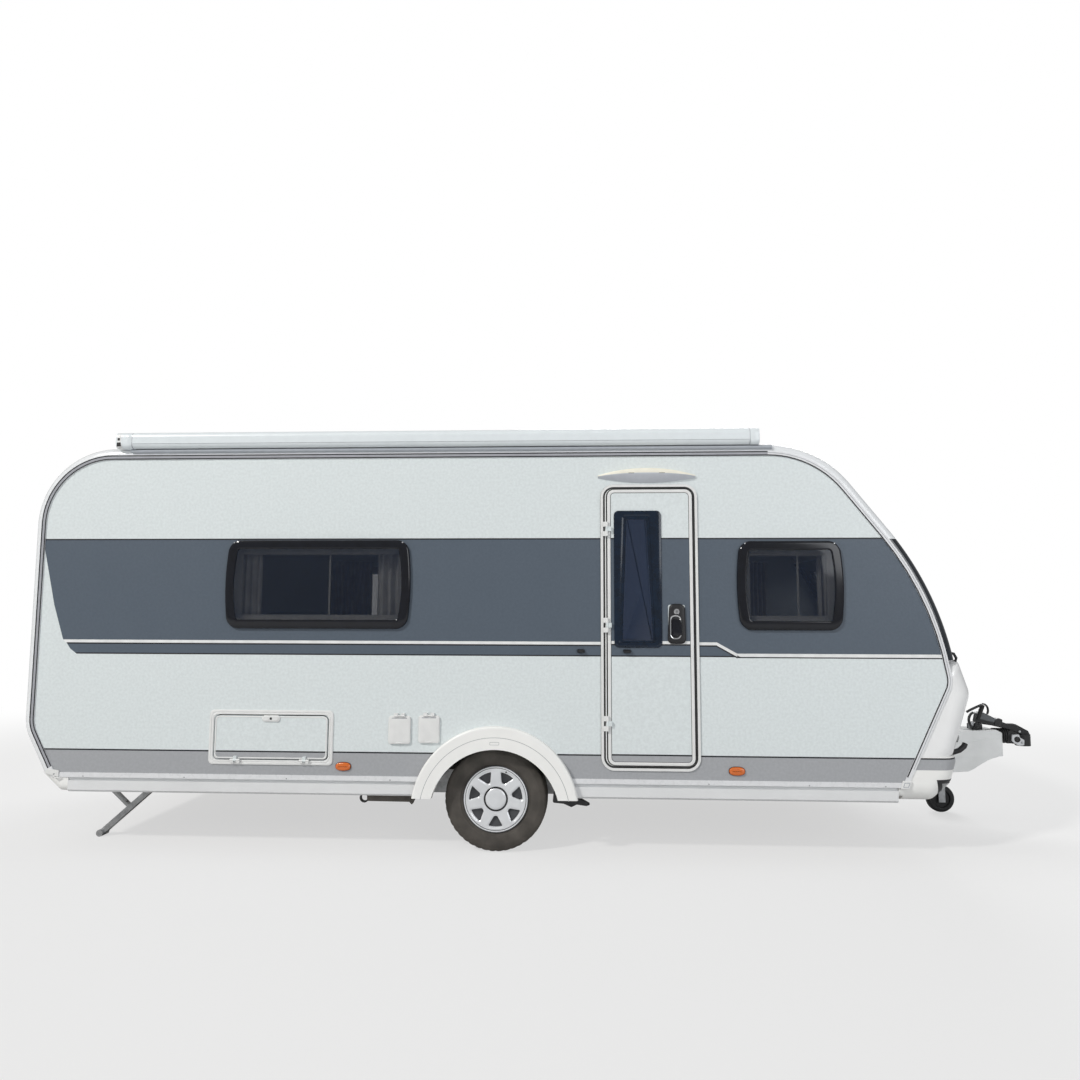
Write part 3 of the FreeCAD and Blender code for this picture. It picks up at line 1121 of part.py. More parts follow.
def leg_solid(name):
    side = d.leg_y + d.leg_skin
    plates = both_sides(name + "_plate", lambda label: box(
        label, (-foot_reach, d.leg_y, -d.leg_half), (d.brace_length, side, d.leg_half)))
    heads = both_sides(name + "_head", lambda label: cylinder(
        label, "y", (d.brace_length, d.leg_y, 0), d.leg_half, d.leg_skin))
    lugs = both_sides(name + "_lug", lambda label: cylinder(
        label, "y", (d.brace_length, d.spindle_radius + 3, 0), d.brace_half, d.leg_y - d.spindle_radius - 1))
    web_plate = box(name + "_web", (-foot_reach, -d.leg_y - 1, -d.leg_half),
                    (d.brace_length - d.leg_half * 2, d.leg_y + 1, -d.leg_half + d.leg_skin))
    pin = cylinder(name + "_pin", "y", (0, -side - 2, 0), d.steady_pin, side * 2 + 4)
    foot = cylinder(name + "_foot", "y", (-foot_reach, -side - 16, 0), d.foot_radius, (side + 16) * 2)
    leg = join(name, plates + heads + lugs + [web_plate, pin, foot])
    leg.Refine = False
    return leg


def mount_solid(name):
    head = floor_bottom - d.steady_z
    side = d.leg_y + d.leg_skin
    end = d.spindle_length
    plate = box(name + "_plate", (-d.leg_half * 2, -side - 14, head - d.mount_skin), (end, side + 14, head))
    outer = box(name + "_outer", (-d.leg_half * 2, -side, -d.leg_half), (-d.leg_half * 2 + d.mount_skin, side, head))
    inner = box(name + "_inner", (end - d.mount_skin, -side, -d.leg_half), (end, side, head))
    cheeks = both_sides(name + "_cheek", lambda label: box(
        label, (-d.brace_half - 4, d.brace_y + d.brace_skin + 1, -d.leg_half),
        (d.brace_half + 4, d.brace_y + d.brace_skin + 1 + d.mount_skin, head)))
    pins = both_sides(name + "_pin", lambda label: cylinder(
        label, "y", (0, d.brace_y - 1, 0), d.steady_pin, d.brace_skin + 3))
    spindle = cylinder(name + "_spindle", "x", (-d.leg_half * 2 - 8, 0, 0), d.spindle_radius, end + d.leg_half * 2 + 8)
    return join(name, [plate, outer, inner, spindle] + cheeks + pins)


def flipped(name, source):
    feature = doc.addObject("Part::Mirroring", name)
    feature.Source = source
    feature.Normal = X_AXIS
    return feature


def tilted(feature, angle, x, y, z):
    feature.Placement = FreeCAD.Placement(FreeCAD.Vector(), FreeCAD.Rotation(Y_AXIS, angle.value))
    bind(feature, "Placement.Rotation.Angle", angle)
    place(feature, x, y, z)
    return feature


mounts = []
for side_name, side in (("right", -1), ("left", 1)):
    for end_name, pivot, inward, angle in (("rear", d.rear_pivot, 1, parked_angle),
                                           ("front", d.front_pivot, -1, d.stowed_angle)):
        corner = "%s_%s" % (end_name, side_name)
        y = d.steady_y * side
        brace, leg, mount = brace_solid("brace_" + corner), leg_solid("leg_" + corner), mount_solid("mount_" + corner)
        if inward < 0:
            brace, leg, mount = (flipped(name + "_" + corner + "_flipped", source) for name, source in
                                 (("brace", brace), ("leg", leg), ("mount", mount)))
        pin_x = pivot + cosine(angle) * d.brace_length * inward
        pin_z = d.steady_z - sine(angle) * d.brace_length
        tilted(brace, angle * inward, shift + pivot, y, d.steady_z)
        tilted(leg, -angle * inward, shift + pin_x, y, pin_z)
        sub_part("steady_brace_" + corner, brace, moved=False)
        sub_part("steady_leg_" + corner, leg, moved=False)
        place(mount, pivot, y, d.steady_z)
        mounts.append(mount)
sub_part("steady_mounts", join("steady_mounts", mounts))

# Furniture and cushions


def carcass(name, low, high, open_side=None):
    """A cupboard of boards; one side may be left open."""
    board = d.board
    inner_low = [low[i] + board for i in range(3)]
    inner_high = [high[i] - board for i in range(3)]
    if open_side == "right":
        inner_low[1] = low[1] - 1
    if open_side == "left":
        inner_high[1] = high[1] + 1
    return cut(name, box(name + "_block", low, high), box(name + "_room", inner_low, inner_high))


sub_part("bed_base", carcass("bed_base", (d.bed_rear, -inner_half, d.floor_top), (d.bed_front, d.bed_side, d.bed_top),
                             "right"))
sub_part("mattress", box("mattress", (d.mattress_rear, -inner_half + 4, d.bed_top + d.soft_gap),
                         (d.bed_front - 4, d.bed_side - 4, d.bed_top + d.soft_gap + d.mattress_tall)))
box_clear = join("box_clear", [
    box("box_clear_right", (-d.box_half - 1, -FAR, 0), (d.box_half + 1, -d.box_inner + 1, d.box_top + 1)),
    box("box_clear_left", (-d.box_half - 1, d.box_inner - 1, 0), (d.box_half + 1, FAR, d.box_top + 1))])
washroom = carcass("washroom", (d.washroom_rear, d.washroom_side, d.floor_top),
                   (d.washroom_front, inner_half, d.washroom_top))
kitchen = cut("kitchen", carcass("kitchen_carcass", (d.kitchen_rear, d.kitchen_side, d.floor_top),
                                 (d.kitchen_front, inner_half, d.kitchen_top), "left"), box_clear)
robe = cut("robe", carcass("robe_carcass", (d.robe_rear, -inner_half, d.floor_top),
                           (d.robe_front, d.robe_side, d.robe_top), "right"), box_clear)
sub_part("cabinets", join("cabinets", [washroom, kitchen, robe]))
sub_part("sofa_base", carcass("sofa_base", (d.sofa_rear, -inner_half, d.floor_top),
                              (d.locker_rear - 1, inner_half, d.sofa_top)))
sub_part("sofa_cushions", box("sofa_cushions", (d.sofa_rear + 4, -inner_half + 4, d.sofa_top + d.soft_gap),
                              (d.locker_rear - 4, inner_half - 4, d.sofa_top + d.soft_gap + d.mattress_tall)))

# Check every object, then write each sub-part to its own file

doc.recompute()
for feature in doc.Objects:
    if "Invalid" in feature.State or "Error" in feature.State:
        raise RuntimeError("%s failed: %s" % (feature.Name, feature.State))
os.makedirs("parts", exist_ok=True)
for label, feature in sub_parts:
    if feature.Shape.isNull() or not feature.Shape.isValid():
        raise RuntimeError("%s has no valid shape" % label)
for label, feature in sub_parts:
    feature.Shape.exportStep("parts/%s.step" % label)
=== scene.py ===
import math

import bmesh
import bpy
from mathutils import Matrix, Vector
from mathutils.bvhtree import BVHTree


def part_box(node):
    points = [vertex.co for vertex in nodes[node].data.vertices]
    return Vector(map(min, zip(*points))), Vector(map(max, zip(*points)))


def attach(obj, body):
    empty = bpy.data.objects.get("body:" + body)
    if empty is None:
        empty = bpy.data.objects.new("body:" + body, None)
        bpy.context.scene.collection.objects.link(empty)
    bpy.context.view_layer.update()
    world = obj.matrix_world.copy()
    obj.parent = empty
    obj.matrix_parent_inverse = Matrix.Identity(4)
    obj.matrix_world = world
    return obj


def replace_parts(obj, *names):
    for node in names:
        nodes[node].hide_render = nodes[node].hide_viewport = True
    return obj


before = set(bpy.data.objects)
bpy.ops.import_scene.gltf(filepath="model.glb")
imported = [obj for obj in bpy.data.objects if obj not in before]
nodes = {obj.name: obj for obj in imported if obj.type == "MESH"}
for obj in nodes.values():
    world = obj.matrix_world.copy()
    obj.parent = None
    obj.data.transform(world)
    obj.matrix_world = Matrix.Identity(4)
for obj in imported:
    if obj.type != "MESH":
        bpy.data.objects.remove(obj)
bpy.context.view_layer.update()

# Places, in metres. The axle is the origin that the body is laid out from
AXLE_X = -0.381
HALF_WIDTH = 1.15
RAIL_FACE = HALF_WIDTH + 0.006
INNER_FACE = HALF_WIDTH - 0.031
WHEEL_Z = 0.32
WHEEL_OUT = 1.105
FILM = 0.0006
BAND_TOP = 1.937
BAND_FOOT = 1.290
PIN_FOOT = 1.272
STRIP_FOOT = 1.208
GREY_TOP = 0.606
LINE = 0.009
LINE_THIN = 0.008
SIDE_OUTLINE = [
    (-2.807, 0.43, 0), (2.479, 0.43, 0), (2.772, 1.044, 0.15), (2.696, 1.584, 1.8),
    (1.992, 2.485, 0.6), (-2.973, 2.485, 0.45), (-2.973, 0.741, 0.22)]
REAR_LIGHT = (-1.734, 1.365, -0.545, 1.925)
FRONT_LIGHT = (1.492, 1.366, 2.141, 1.916)
DOOR_LIGHT = (0.735, 1.256, 1.029, 2.108)
HATCH = (-1.802, 0.52, -1.013, 0.857)
MAINS_FLAP = (-0.667, 0.656, -0.527, 0.829)
WATER_FLAP = (-0.479, 0.663, -0.346, 0.833)
DOOR = (0.652, 0.511, 1.255, 2.275)
DOOR_RADIUS = 0.08
SIDES = ((-1, "right"), (1, "left"))

# Materials


def shader_of(name):
    """A new node material, its tree, its shader and its object coordinates."""
    material = bpy.data.materials.new(name)
    material.use_nodes = True
    tree = material.node_tree
    place = tree.nodes.new("ShaderNodeTexCoord").outputs["Object"]
    return material, tree, tree.nodes["Principled BSDF"], place


def fill(node, **values):
    """Sets inputs of a node, with _ for each space in an input's name."""
    for label, value in values.items():
        node.inputs[label.replace("_", " ")].default_value = value
    return node


def add(tree, kind, **values):
    return fill(tree.nodes.new("ShaderNode" + kind), **values)


def noise(tree, place, scale, detail=3.0):
    node = add(tree, "TexNoise", Scale=scale, Detail=detail)
    tree.links.new(place, node.inputs["Vector"])
    return node.outputs["Fac"]


def waves(tree, place, direction, scale, **values):
    node = add(tree, "TexWave", Scale=scale, **values)
    node.bands_direction = direction
    tree.links.new(place, node.inputs["Vector"])
    return node.outputs["Fac"]


def scaled(colour, factor):
    return [min(1.0, part * factor) for part in colour]


def tint(tree, shader, factor, low, high, start=0.3, end=0.7):
    """Base colour that runs from low to high along a factor."""
    node = tree.nodes.new("ShaderNodeValToRGB")
    for stop, position, colour in zip(node.color_ramp.elements, (start, end), (low, high)):
        stop.position = position
        stop.color = (*colour, 1)
    tree.links.new(factor, node.inputs["Fac"])
    tree.links.new(node.outputs["Color"], shader.inputs["Base Color"])


def roughen(tree, shader, factor, low, high):
    """Roughness that runs from low to high along a factor."""
    node = add(tree, "MapRange", To_Min=low, To_Max=high)
    tree.links.new(factor, node.inputs["Value"])
    tree.links.new(node.outputs["Result"], shader.inputs["Roughness"])


def bump(tree, shader, height, strength, distance):
    node = add(tree, "Bump", Strength=strength, Distance=distance)
    tree.links.new(height, node.inputs["Height"])
    tree.links.new(node.outputs["Normal"], shader.inputs["Normal"])


def finish(name, colour, rough, metal=0.0, vary=0.06, grain=18.0, grit=None, coat=0.0, spec=0.5):
    """Paint, plastic, rubber or metal: a colour that drifts a little, worn roughness, and a fine grit."""
    material, tree, shader, place = shader_of(name)
    tint(tree, shader, noise(tree, place, grain), scaled(colour, 1 - vary), scaled(colour, 1 + vary))
    roughen(tree, shader, noise(tree, place, grain * 2.3), rough * 0.85, rough * 1.15)
    fill(shader, Metallic=metal, Coat_Weight=coat, Coat_Roughness=0.08, Specular_IOR_Level=spec)
    if grit:
        scale, strength, distance = grit
        bump(tree, shader, noise(tree, place, scale, 2.0), strength, distance)
    return material


def hammered(name, colour, rough=0.42):
    """Painted aluminium sheet with the pebbled pressing of caravan walls."""
    material, tree, shader, place = shader_of(name)
    cells = tree.nodes.new("ShaderNodeTexVoronoi")
    cells.feature = "SMOOTH_F1"
    fill(cells, Scale=105.0, Randomness=1.0)
    tree.links.new(place, cells.inputs["Vector"])
    tint(tree, shader, noise(tree, place, 60.0, 4.0), scaled(colour, 0.95), scaled(colour, 1.03), 0.35, 0.65)
    roughen(tree, shader, noise(tree, place, 7.0), rough * 0.85, rough * 1.2)
    bump(tree, shader, cells.outputs["Distance"], 0.24, 0.0012)
    return material


def woven(name, colour, thread):
    """Cloth: crossed threads in colour and height."""
    material, tree, shader, place = shader_of(name)
    weave = tree.nodes.new("ShaderNodeMath")
    weave.operation = "MULTIPLY"
    for index, direction in enumerate(("X", "Z")):
        tree.links.new(waves(tree, place, direction, thread, Distortion=0.6), weave.inputs[index])
    tint(tree, shader, noise(tree, place, 9.0), scaled(colour, 0.75), colour)
    fill(shader, Roughness=0.9, Sheen_Weight=0.3)
    bump(tree, shader, weave.outputs[0], 0.3, 0.0006)
    return material


def grained(name, dark, light, length=2.2):
    """Laminate with long wood grain."""
    material, tree, shader, place = shader_of(name)
    stretch = add(tree, "Mapping", Scale=(1.0, 1.0, 9.0))
    tree.links.new(place, stretch.inputs["Vector"])
    along = stretch.outputs["Vector"]
    tint(tree, shader, noise(tree, along, length, 6.0), dark, light)
    fill(shader, Roughness=0.45)
    bump(tree, shader, noise(tree, along, length * 20, 2.0), 0.1, 0.0004)
    return material


def glazing(name, colour, alpha):
    """Tinted acrylic sheet."""
    material, tree, shader, place = shader_of(name)
    tint(tree, shader, noise(tree, place, 1.6), scaled(colour, 0.8), colour)
    fill(shader, Roughness=0.04, Alpha=alpha, Coat_Weight=0.2, Coat_Roughness=0.02)
    return material


def lens(name, colour):
    """Ribbed coloured lamp lens over a reflector."""
    material, tree, shader, place = shader_of(name)
    ribs = waves(tree, place, "X", 55.0)
    tint(tree, shader, ribs, scaled(colour, 0.45), colour, 0.1, 0.6)
    fill(shader, Roughness=0.12, Coat_Weight=1.0)
    bump(tree, shader, ribs, 0.3, 0.001)
    return material


# Grit as (scale, strength, distance)
MOULD_GRIT = (900.0, 0.15, 0.0004)
SKIN = hammered("skin_white", (0.715, 0.768, 0.778))
SLATE = hammered("skin_slate", (0.085, 0.110, 0.143))
BAND_GREY = hammered("skin_grey", (0.375, 0.385, 0.405))
LINE_BLACK = finish("line_black", (0.012, 0.012, 0.016), 0.45)
PINSTRIPE = finish("pinstripe", (0.80, 0.81, 0.81), 0.35)
GLOSS = finish("gelcoat_white", (0.85, 0.855, 0.86), 0.16, vary=0.02, grain=3.0, coat=0.6)
ROOF = finish("roof_white", (0.80, 0.82, 0.84), 0.22, vary=0.02, grain=3.0, coat=0.4)
MOULDED = finish("bumper_white", (0.89, 0.89, 0.875), 0.3, vary=0.03, grain=5.0, grit=MOULD_GRIT)
# A greyer copy of the bumper white: painted shade on the skirts, whose lower faces turn from the light
SKIRT_PAINTED_SHADE = finish("skirt_painted_shade", (0.74, 0.75, 0.76), 0.3, vary=0.03, grain=5.0, grit=MOULD_GRIT)
RAIL = finish("rail_white", (0.74, 0.75, 0.77), 0.28, vary=0.03)
# Grey-blue painted shade for the faces under the door lamp's canopy
CANOPY_PAINTED_SHADE = finish("canopy_under_painted_shade", (0.62, 0.645, 0.70), 0.4, vary=0.04)
# Grey painted shade inside the opening of the front rail brackets
CLIP_PAINTED_SHADE = finish("clip_painted_shade", (0.40, 0.42, 0.46), 0.4, vary=0.04)
RAIL_INSERT = finish("rail_insert", (0.36, 0.37, 0.40), 0.35)
PLASTIC = finish("plastic_white", (0.77, 0.775, 0.77), 0.38, vary=0.03, grit=(700.0, 0.15, 0.0004))
PLASTIC_OLD = finish("plastic_cream", (0.88, 0.85, 0.735), 0.4, vary=0.04)
COVER_WHITE = finish("cover_white", (0.86, 0.875, 0.875), 0.35, vary=0.06, grain=6.0,
                     grit=(300.0, 0.2, 0.0005))
CASE = finish("case_grey", (0.76, 0.81, 0.835), 0.3, vary=0.02, coat=0.3)
BLACK = finish("black_plastic", (0.012, 0.012, 0.014), 0.42, grit=(600.0, 0.3, 0.0005))
BLACK_GLOSS = finish("black_gloss", (0.004, 0.005, 0.009), 0.12, vary=0.3, coat=0.25, spec=0.35)
STEEL_BLACK = finish("black_steel", (0.02, 0.02, 0.022), 0.4, grit=(300.0, 0.25, 0.0005))
ZINC = finish("galvanised", (0.42, 0.43, 0.44), 0.42, metal=0.85, vary=0.22, grain=26.0)
CHROME = finish("chrome", (0.75, 0.76, 0.78), 0.1, metal=1.0, vary=0.03)
ALLOY = finish("wheel_silver", (0.76, 0.775, 0.80), 0.3, metal=0.25, vary=0.03, coat=0.4)
# Dark rim paint, made darker than the rim's silver so it also paints the shade seen through the trim's
# windows
WHEEL_STEEL_AND_SHADE = finish("wheel_steel_and_shade", (0.05, 0.052, 0.058), 0.45, vary=0.25, grain=12.0)
# Grey of the awning's strip, darkened partly as painted shadow of the case above it
ADAPTER_GREY_AND_SHADOW = finish("adapter_grey_and_shadow", (0.40, 0.43, 0.47), 0.35, vary=0.05)
TRAY = finish("tray_brown", (0.10, 0.09, 0.08), 0.7, vary=0.3, grain=14.0)
# Grey for thin films on the arch covers: painted shade of a step and a recess
ARCH_PAINTED_SHADE = finish("arch_painted_shade", (0.42, 0.43, 0.44), 0.5, vary=0.06)
HANDLE_GREY = finish("handle_grey", (0.14, 0.15, 0.16), 0.4, vary=0.1)
TYRE = finish("tyre_rubber", (0.070, 0.062, 0.054), 0.72, vary=0.3, grain=9.0, grit=(240.0, 0.35, 0.0008))
RUBBER = finish("rubber_black", (0.014, 0.014, 0.015), 0.6, grit=(300.0, 0.3, 0.0006))
GLASS = glazing("acrylic_tint", (0.006, 0.014, 0.034), 0.45)
GLASS_DARK = glazing("acrylic_dark", (0.026, 0.042, 0.085), 0.72)
NAVY_GLOSS = finish("navy_gloss", (0.0035, 0.011, 0.026), 0.12, vary=0.3, coat=0.25, spec=0.35)
PANEL_DARK = finish("front_dark", (0.010, 0.014, 0.020), 0.14, vary=0.3, grain=4.0, coat=0.3)
AMBER = lens("lens_amber", (0.86, 0.18, 0.015))
RED = lens("lens_red", (0.36, 0.012, 0.014))
REFLECTOR = lens("lens_clear", (0.33, 0.34, 0.34))
BOARD = finish("floor_board", (0.33, 0.25, 0.17), 0.6, vary=0.2, grain=30.0)
WOOD = grained("laminate_wood", (0.22, 0.14, 0.08), (0.36, 0.24, 0.15))
LINING = finish("lining_cream", (0.55, 0.54, 0.51), 0.7)
CURTAIN = woven("curtain_white", (0.72, 0.71, 0.68), 600.0)
UPHOLSTERY = woven("upholstery_grey", (0.30, 0.27, 0.24), 380.0)
TICKING = woven("mattress_white", (0.62, 0.60, 0.56), 500.0)

# Mesh helpers

ARC_STEP = math.radians(9)
BEVEL_ANGLE = math.radians(38)


def at(x, y, z):
    """A point whose X is measured from the axle."""
    return Vector((x + AXLE_X, y, z))


def on_side(side, near, far):
    """Two distances from the middle, as the low and the high Y of one side."""
    return sorted((side * near, side * far))


def mirrored(points, side):
    return [at(x, side * y, z) for x, y, z in points]


def outward(profile, side):
    """A turned profile, pointed away from the middle of the caravan."""
    return [(along * side, radius) for along, radius in profile]


def placed(name, data):
    """A new object in the scene."""
    item = bpy.data.objects.new(name, data)
    bpy.context.scene.collection.objects.link(item)
    return item


def mesh_object(name, mesh):
    data = bpy.data.meshes.new(name)
    mesh.to_mesh(data)
    mesh.free()
    return placed(name, data)


def make(name, mesh, material, body="caravan", slot=None, smooth=35.0, bevel=0.0, steps=2):
    """Turns a bmesh into a piece that rides on a body."""
    bmesh.ops.recalc_face_normals(mesh, faces=mesh.faces[:])
    piece = mesh_object(name, mesh)
    piece.data.materials.append(material)
    if bevel:
        modifier = piece.modifiers.new("bevel", "BEVEL")
        modifier.width = bevel
        modifier.segments = steps
        modifier.limit_method = "ANGLE"
        modifier.angle_limit = BEVEL_ANGLE
    for polygon in piece.data.polygons:
        polygon.use_smooth = True
    piece.data.set_sharp_from_angle(angle=math.radians(smooth))
    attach(piece, body)
    return piece


def rounded(corners, arcs=None, step=ARC_STEP):
    """Outline points of a polygon whose corners (u, v, radius) are rounded with arcs."""
    points = []
    for index, (u, v, radius) in enumerate(corners):
        here = Vector((u, v))
        if radius <= 0:
            points.append(here)
            continue
        back = (Vector(corners[index - 1][:2]) - here).normalized()
        ahead = (Vector(corners[(index + 1) % len(corners)][:2]) - here).normalized()
        half = back.angle(ahead) / 2
        centre = here + (back + ahead).normalized() * radius / math.sin(half)
        start = here + back * radius / math.tan(half) - centre
        turn = math.pi - 2 * half
        if back.x * ahead.y - back.y * ahead.x > 0:
            turn = -turn
        count = arcs or max(2, int(abs(turn) / step))
        for part in range(count + 1):
            cosine, sine = math.cos(turn * part / count), math.sin(turn * part / count)
            points.append(centre + Vector((start.x * cosine - start.y * sine,
                                           start.x * sine + start.y * cosine)))
    return points


def even(corners, radius, arcs=None):
    """An outline whose corners (u, v) share one radius."""
    return rounded([(u, v, radius) for u, v in corners], arcs)


def panel(low_u, low_v, high_u, high_v, radius, arcs=None):
    return even([(low_u, low_v), (high_u, low_v), (high_u, high_v), (low_u, high_v)], radius, arcs)


def framed(corners, amount, radius, arcs=None):
    """A rounded rectangle moved inwards by an amount."""
    low_u, low_v, high_u, high_v = corners
    return panel(low_u + amount, low_v + amount, high_u - amount, high_v - amount, radius, arcs)


def inset(points, amount):
    """The outline moved inwards (anticlockwise outlines) by an amount."""
    moved = []
    for index, point in enumerate(points):
        back = (point - points[index - 1]).normalized()
        ahead = (points[(index + 1) % len(points)] - point).normalized()
        tangent = (back + ahead).normalized()
        stretch = max(0.5, tangent.dot(ahead))
        moved.append(point + Vector((-tangent.y, tangent.x)) * amount / stretch)
    return moved


def ring(outline, y):
    """An outline in the X-Z plane at a depth."""
    return [at(point.x, y, point.y) for point in outline]


def bridge(mesh, first, second):
    for index in range(len(first)):
        after = (index + 1) % len(first)
        mesh.faces.new((first[index], first[after], second[after], second[index]))


def stack(mesh, loops, closed=False):
    """Joins loops of equal length one after another, with end caps or into a ring."""
    for first, second in zip(loops, loops[1:]):
        bridge(mesh, first, second)
    if closed:
        bridge(mesh, loops[-1], loops[0])
    else:
        mesh.faces.new(loops[0][::-1])
        mesh.faces.new(loops[-1])


def loft(name, loops, material, closed=False, **looks):
    """A piece skinned over loops of points."""
    mesh = bmesh.new()
    stack(mesh, [[mesh.verts.new(point) for point in loop] for loop in loops], closed)
    return make(name, mesh, material, **looks)


def plate(name, outline, depths, material, bevel=0.0, **looks):
    return loft(name, [ring(outline, y) for y in depths], material, bevel=bevel, **looks)


def block(name, low, high, material, bevel=0.002, **looks):
    corners = ((low[0], low[2]), (high[0], low[2]), (high[0], high[2]), (low[0], high[2]))
    return plate(name, [Vector(corner) for corner in corners], (low[1], high[1]), material, bevel, **looks)


AXIS_TURNS = {
    "x": Matrix(((0, 0, 1), (0, 1, 0), (-1, 0, 0))),
    "y": Matrix(((1, 0, 0), (0, 0, 1), (0, -1, 0))),
    "z": Matrix.Identity(3)}


def lathe(name, profile, centre, axis, material, segments=48, closed=False, **looks):
    """Revolves (along, radius) points about an axis through a centre."""
    mesh = bmesh.new()
    rings = []
    for along, radius in profile:
        angles = [2 * math.pi * part / segments for part in range(segments if radius else 1)]
        spots = [Vector((radius * math.cos(angle), radius * math.sin(angle), along)) for angle in angles]
        rings.append([mesh.verts.new(centre + AXIS_TURNS[axis] @ spot) for spot in spots])
    pairs = list(zip(rings, rings[1:]))
    if closed:
        pairs.append((rings[-1], rings[0]))
    for first, second in pairs:
        for part in range(segments):
            after = (part + 1) % segments
            corners = [first[part % len(first)], first[after % len(first)], second[after % len(second)],
                       second[part % len(second)]]
            unique = [corner for index, corner in enumerate(corners) if corner not in corners[:index]]
            if len(unique) > 2:
                mesh.faces.new(unique)
    return make(name, mesh, material, **looks)


def tube(name, points, radius, material, sides=10, **looks):
    """A round bar along points."""
    loops = []
    across = None
    for index, point in enumerate(points):
        ahead = (points[min(index + 1, len(points) - 1)] - points[max(index - 1, 0)]).normalized()
        across = ahead.orthogonal() if across is None else across - ahead * across.dot(ahead)
        across.normalize()
        up = ahead.cross(across)
        angles = [2 * math.pi * part / sides for part in range(sides)]
        loops.append([point + (across * math.cos(angle) + up * math.sin(angle)) * radius for angle in angles])
    return loft(name, loops, material, **looks)


# Camera, floor and light

EYE = (0.146, -6.284, 1.414)
HEADING, TILT, ROLL = math.radians(2.85), math.radians(95.68), math.radians(0.195)
camera = placed("camera", bpy.data.cameras.new("camera"))
camera.data.sensor_width = 36.0
camera.data.lens = 27.33
camera.data.clip_end = 200.0
camera.matrix_world = (Matrix.Translation(EYE) @ Matrix.Rotation(HEADING, 4, "Z")
                       @ Matrix.Rotation(TILT, 4, "X") @ Matrix.Rotation(ROLL, 4, "Z"))
bpy.context.scene.camera = camera
FLOOR_SIZE = 60.0
FLOOR_GREY = (0.64, 0.64, 0.64, 1)
FADE_START, FADE_END, FADE_LEAST = 5.5, 11.0, 0.6


def seen_as_white(name):
    """A floor that takes the object's shadow and fades to the white background away from it."""
    material, tree, shader, place = shader_of(name)
    fill(shader, Base_Color=FLOOR_GREY, Roughness=0.9)
    reach = tree.nodes.new("ShaderNodeVectorMath")
    reach.operation = "LENGTH"
    tree.links.new(place, reach.inputs[0])
    fade = tree.nodes.new("ShaderNodeMapRange")
    fade.interpolation_type = "SMOOTHSTEP"
    fill(fade, From_Min=FADE_START, From_Max=FADE_END, To_Min=FADE_LEAST)
    tree.links.new(reach.outputs["Value"], fade.inputs["Value"])
    rays = tree.nodes.new("ShaderNodeLightPath")
    seen = tree.nodes.new("ShaderNodeMath")
    seen.operation = "MULTIPLY"
    tree.links.new(fade.outputs["Result"], seen.inputs[0])
    tree.links.new(rays.outputs["Is Camera Ray"], seen.inputs[1])
    white = tree.nodes.new("ShaderNodeEmission")
    mix = tree.nodes.new("ShaderNodeMixShader")
    tree.links.new(seen.outputs[0], mix.inputs["Fac"])
    tree.links.new(shader.outputs["BSDF"], mix.inputs[1])
    tree.links.new(white.outputs["Emission"], mix.inputs[2])
    tree.links.new(mix.outputs["Shader"], tree.nodes["Material Output"].inputs["Surface"])
    return material


floor_mesh = bmesh.new()
bmesh.ops.create_grid(floor_mesh, x_segments=1, y_segments=1, size=FLOOR_SIZE)
floor_plane = mesh_object("floor_plane", floor_mesh)
floor_plane.data.materials.append(seen_as_white("floor_pale"))

LIT_POINT = Vector((0, 0, 1.2))


def area_light(name, place, size, power, tone=(1, 1, 1)):
    data = bpy.data.lights.new(name, "AREA")
    data.shape = "RECTANGLE"
    data.size, data.size_y = size
    data.energy = power
    data.color = tone
    lamp = placed(name, data)
    lamp.location = place
    lamp.rotation_euler = (LIT_POINT - Vector(place)).to_track_quat("-Z", "Y").to_euler()


area_light("key", (-16.0, -17.0, 18.0), (2.2, 2.2), 4350, (1.0, 0.985, 0.955))
area_light("fill", (9.0, -13.0, 5.5), (8.0, 6.0), 480, (0.94, 0.97, 1.0))
area_light("back", (3.0, 13.0, 9.0), (9.0, 6.0), 1300)
SKY_LIGHT, SKY_SEEN = 0.36, 1.0
world = bpy.data.worlds.new("studio")
bpy.context.scene.world = world
world.use_nodes = True
sky = world.node_tree
path = sky.nodes.new("ShaderNodeLightPath")
clear = sky.nodes.new("ShaderNodeMath")
clear.operation = "MAXIMUM"
sky.links.new(path.outputs["Is Camera Ray"], clear.inputs[0])
sky.links.new(path.outputs["Is Transmission Ray"], clear.inputs[1])
shine = add(sky, "MapRange", To_Min=SKY_LIGHT, To_Max=SKY_SEEN)
sky.links.new(clear.outputs[0], shine.inputs["Value"])
sky_shader = fill(sky.nodes["Background"], Color=(1, 1, 1, 1))
sky.links.new(shine.outputs["Result"], sky_shader.inputs["Strength"])
bpy.context.scene.view_settings.view_transform = "Standard"

# Finishes of the CAD nodes

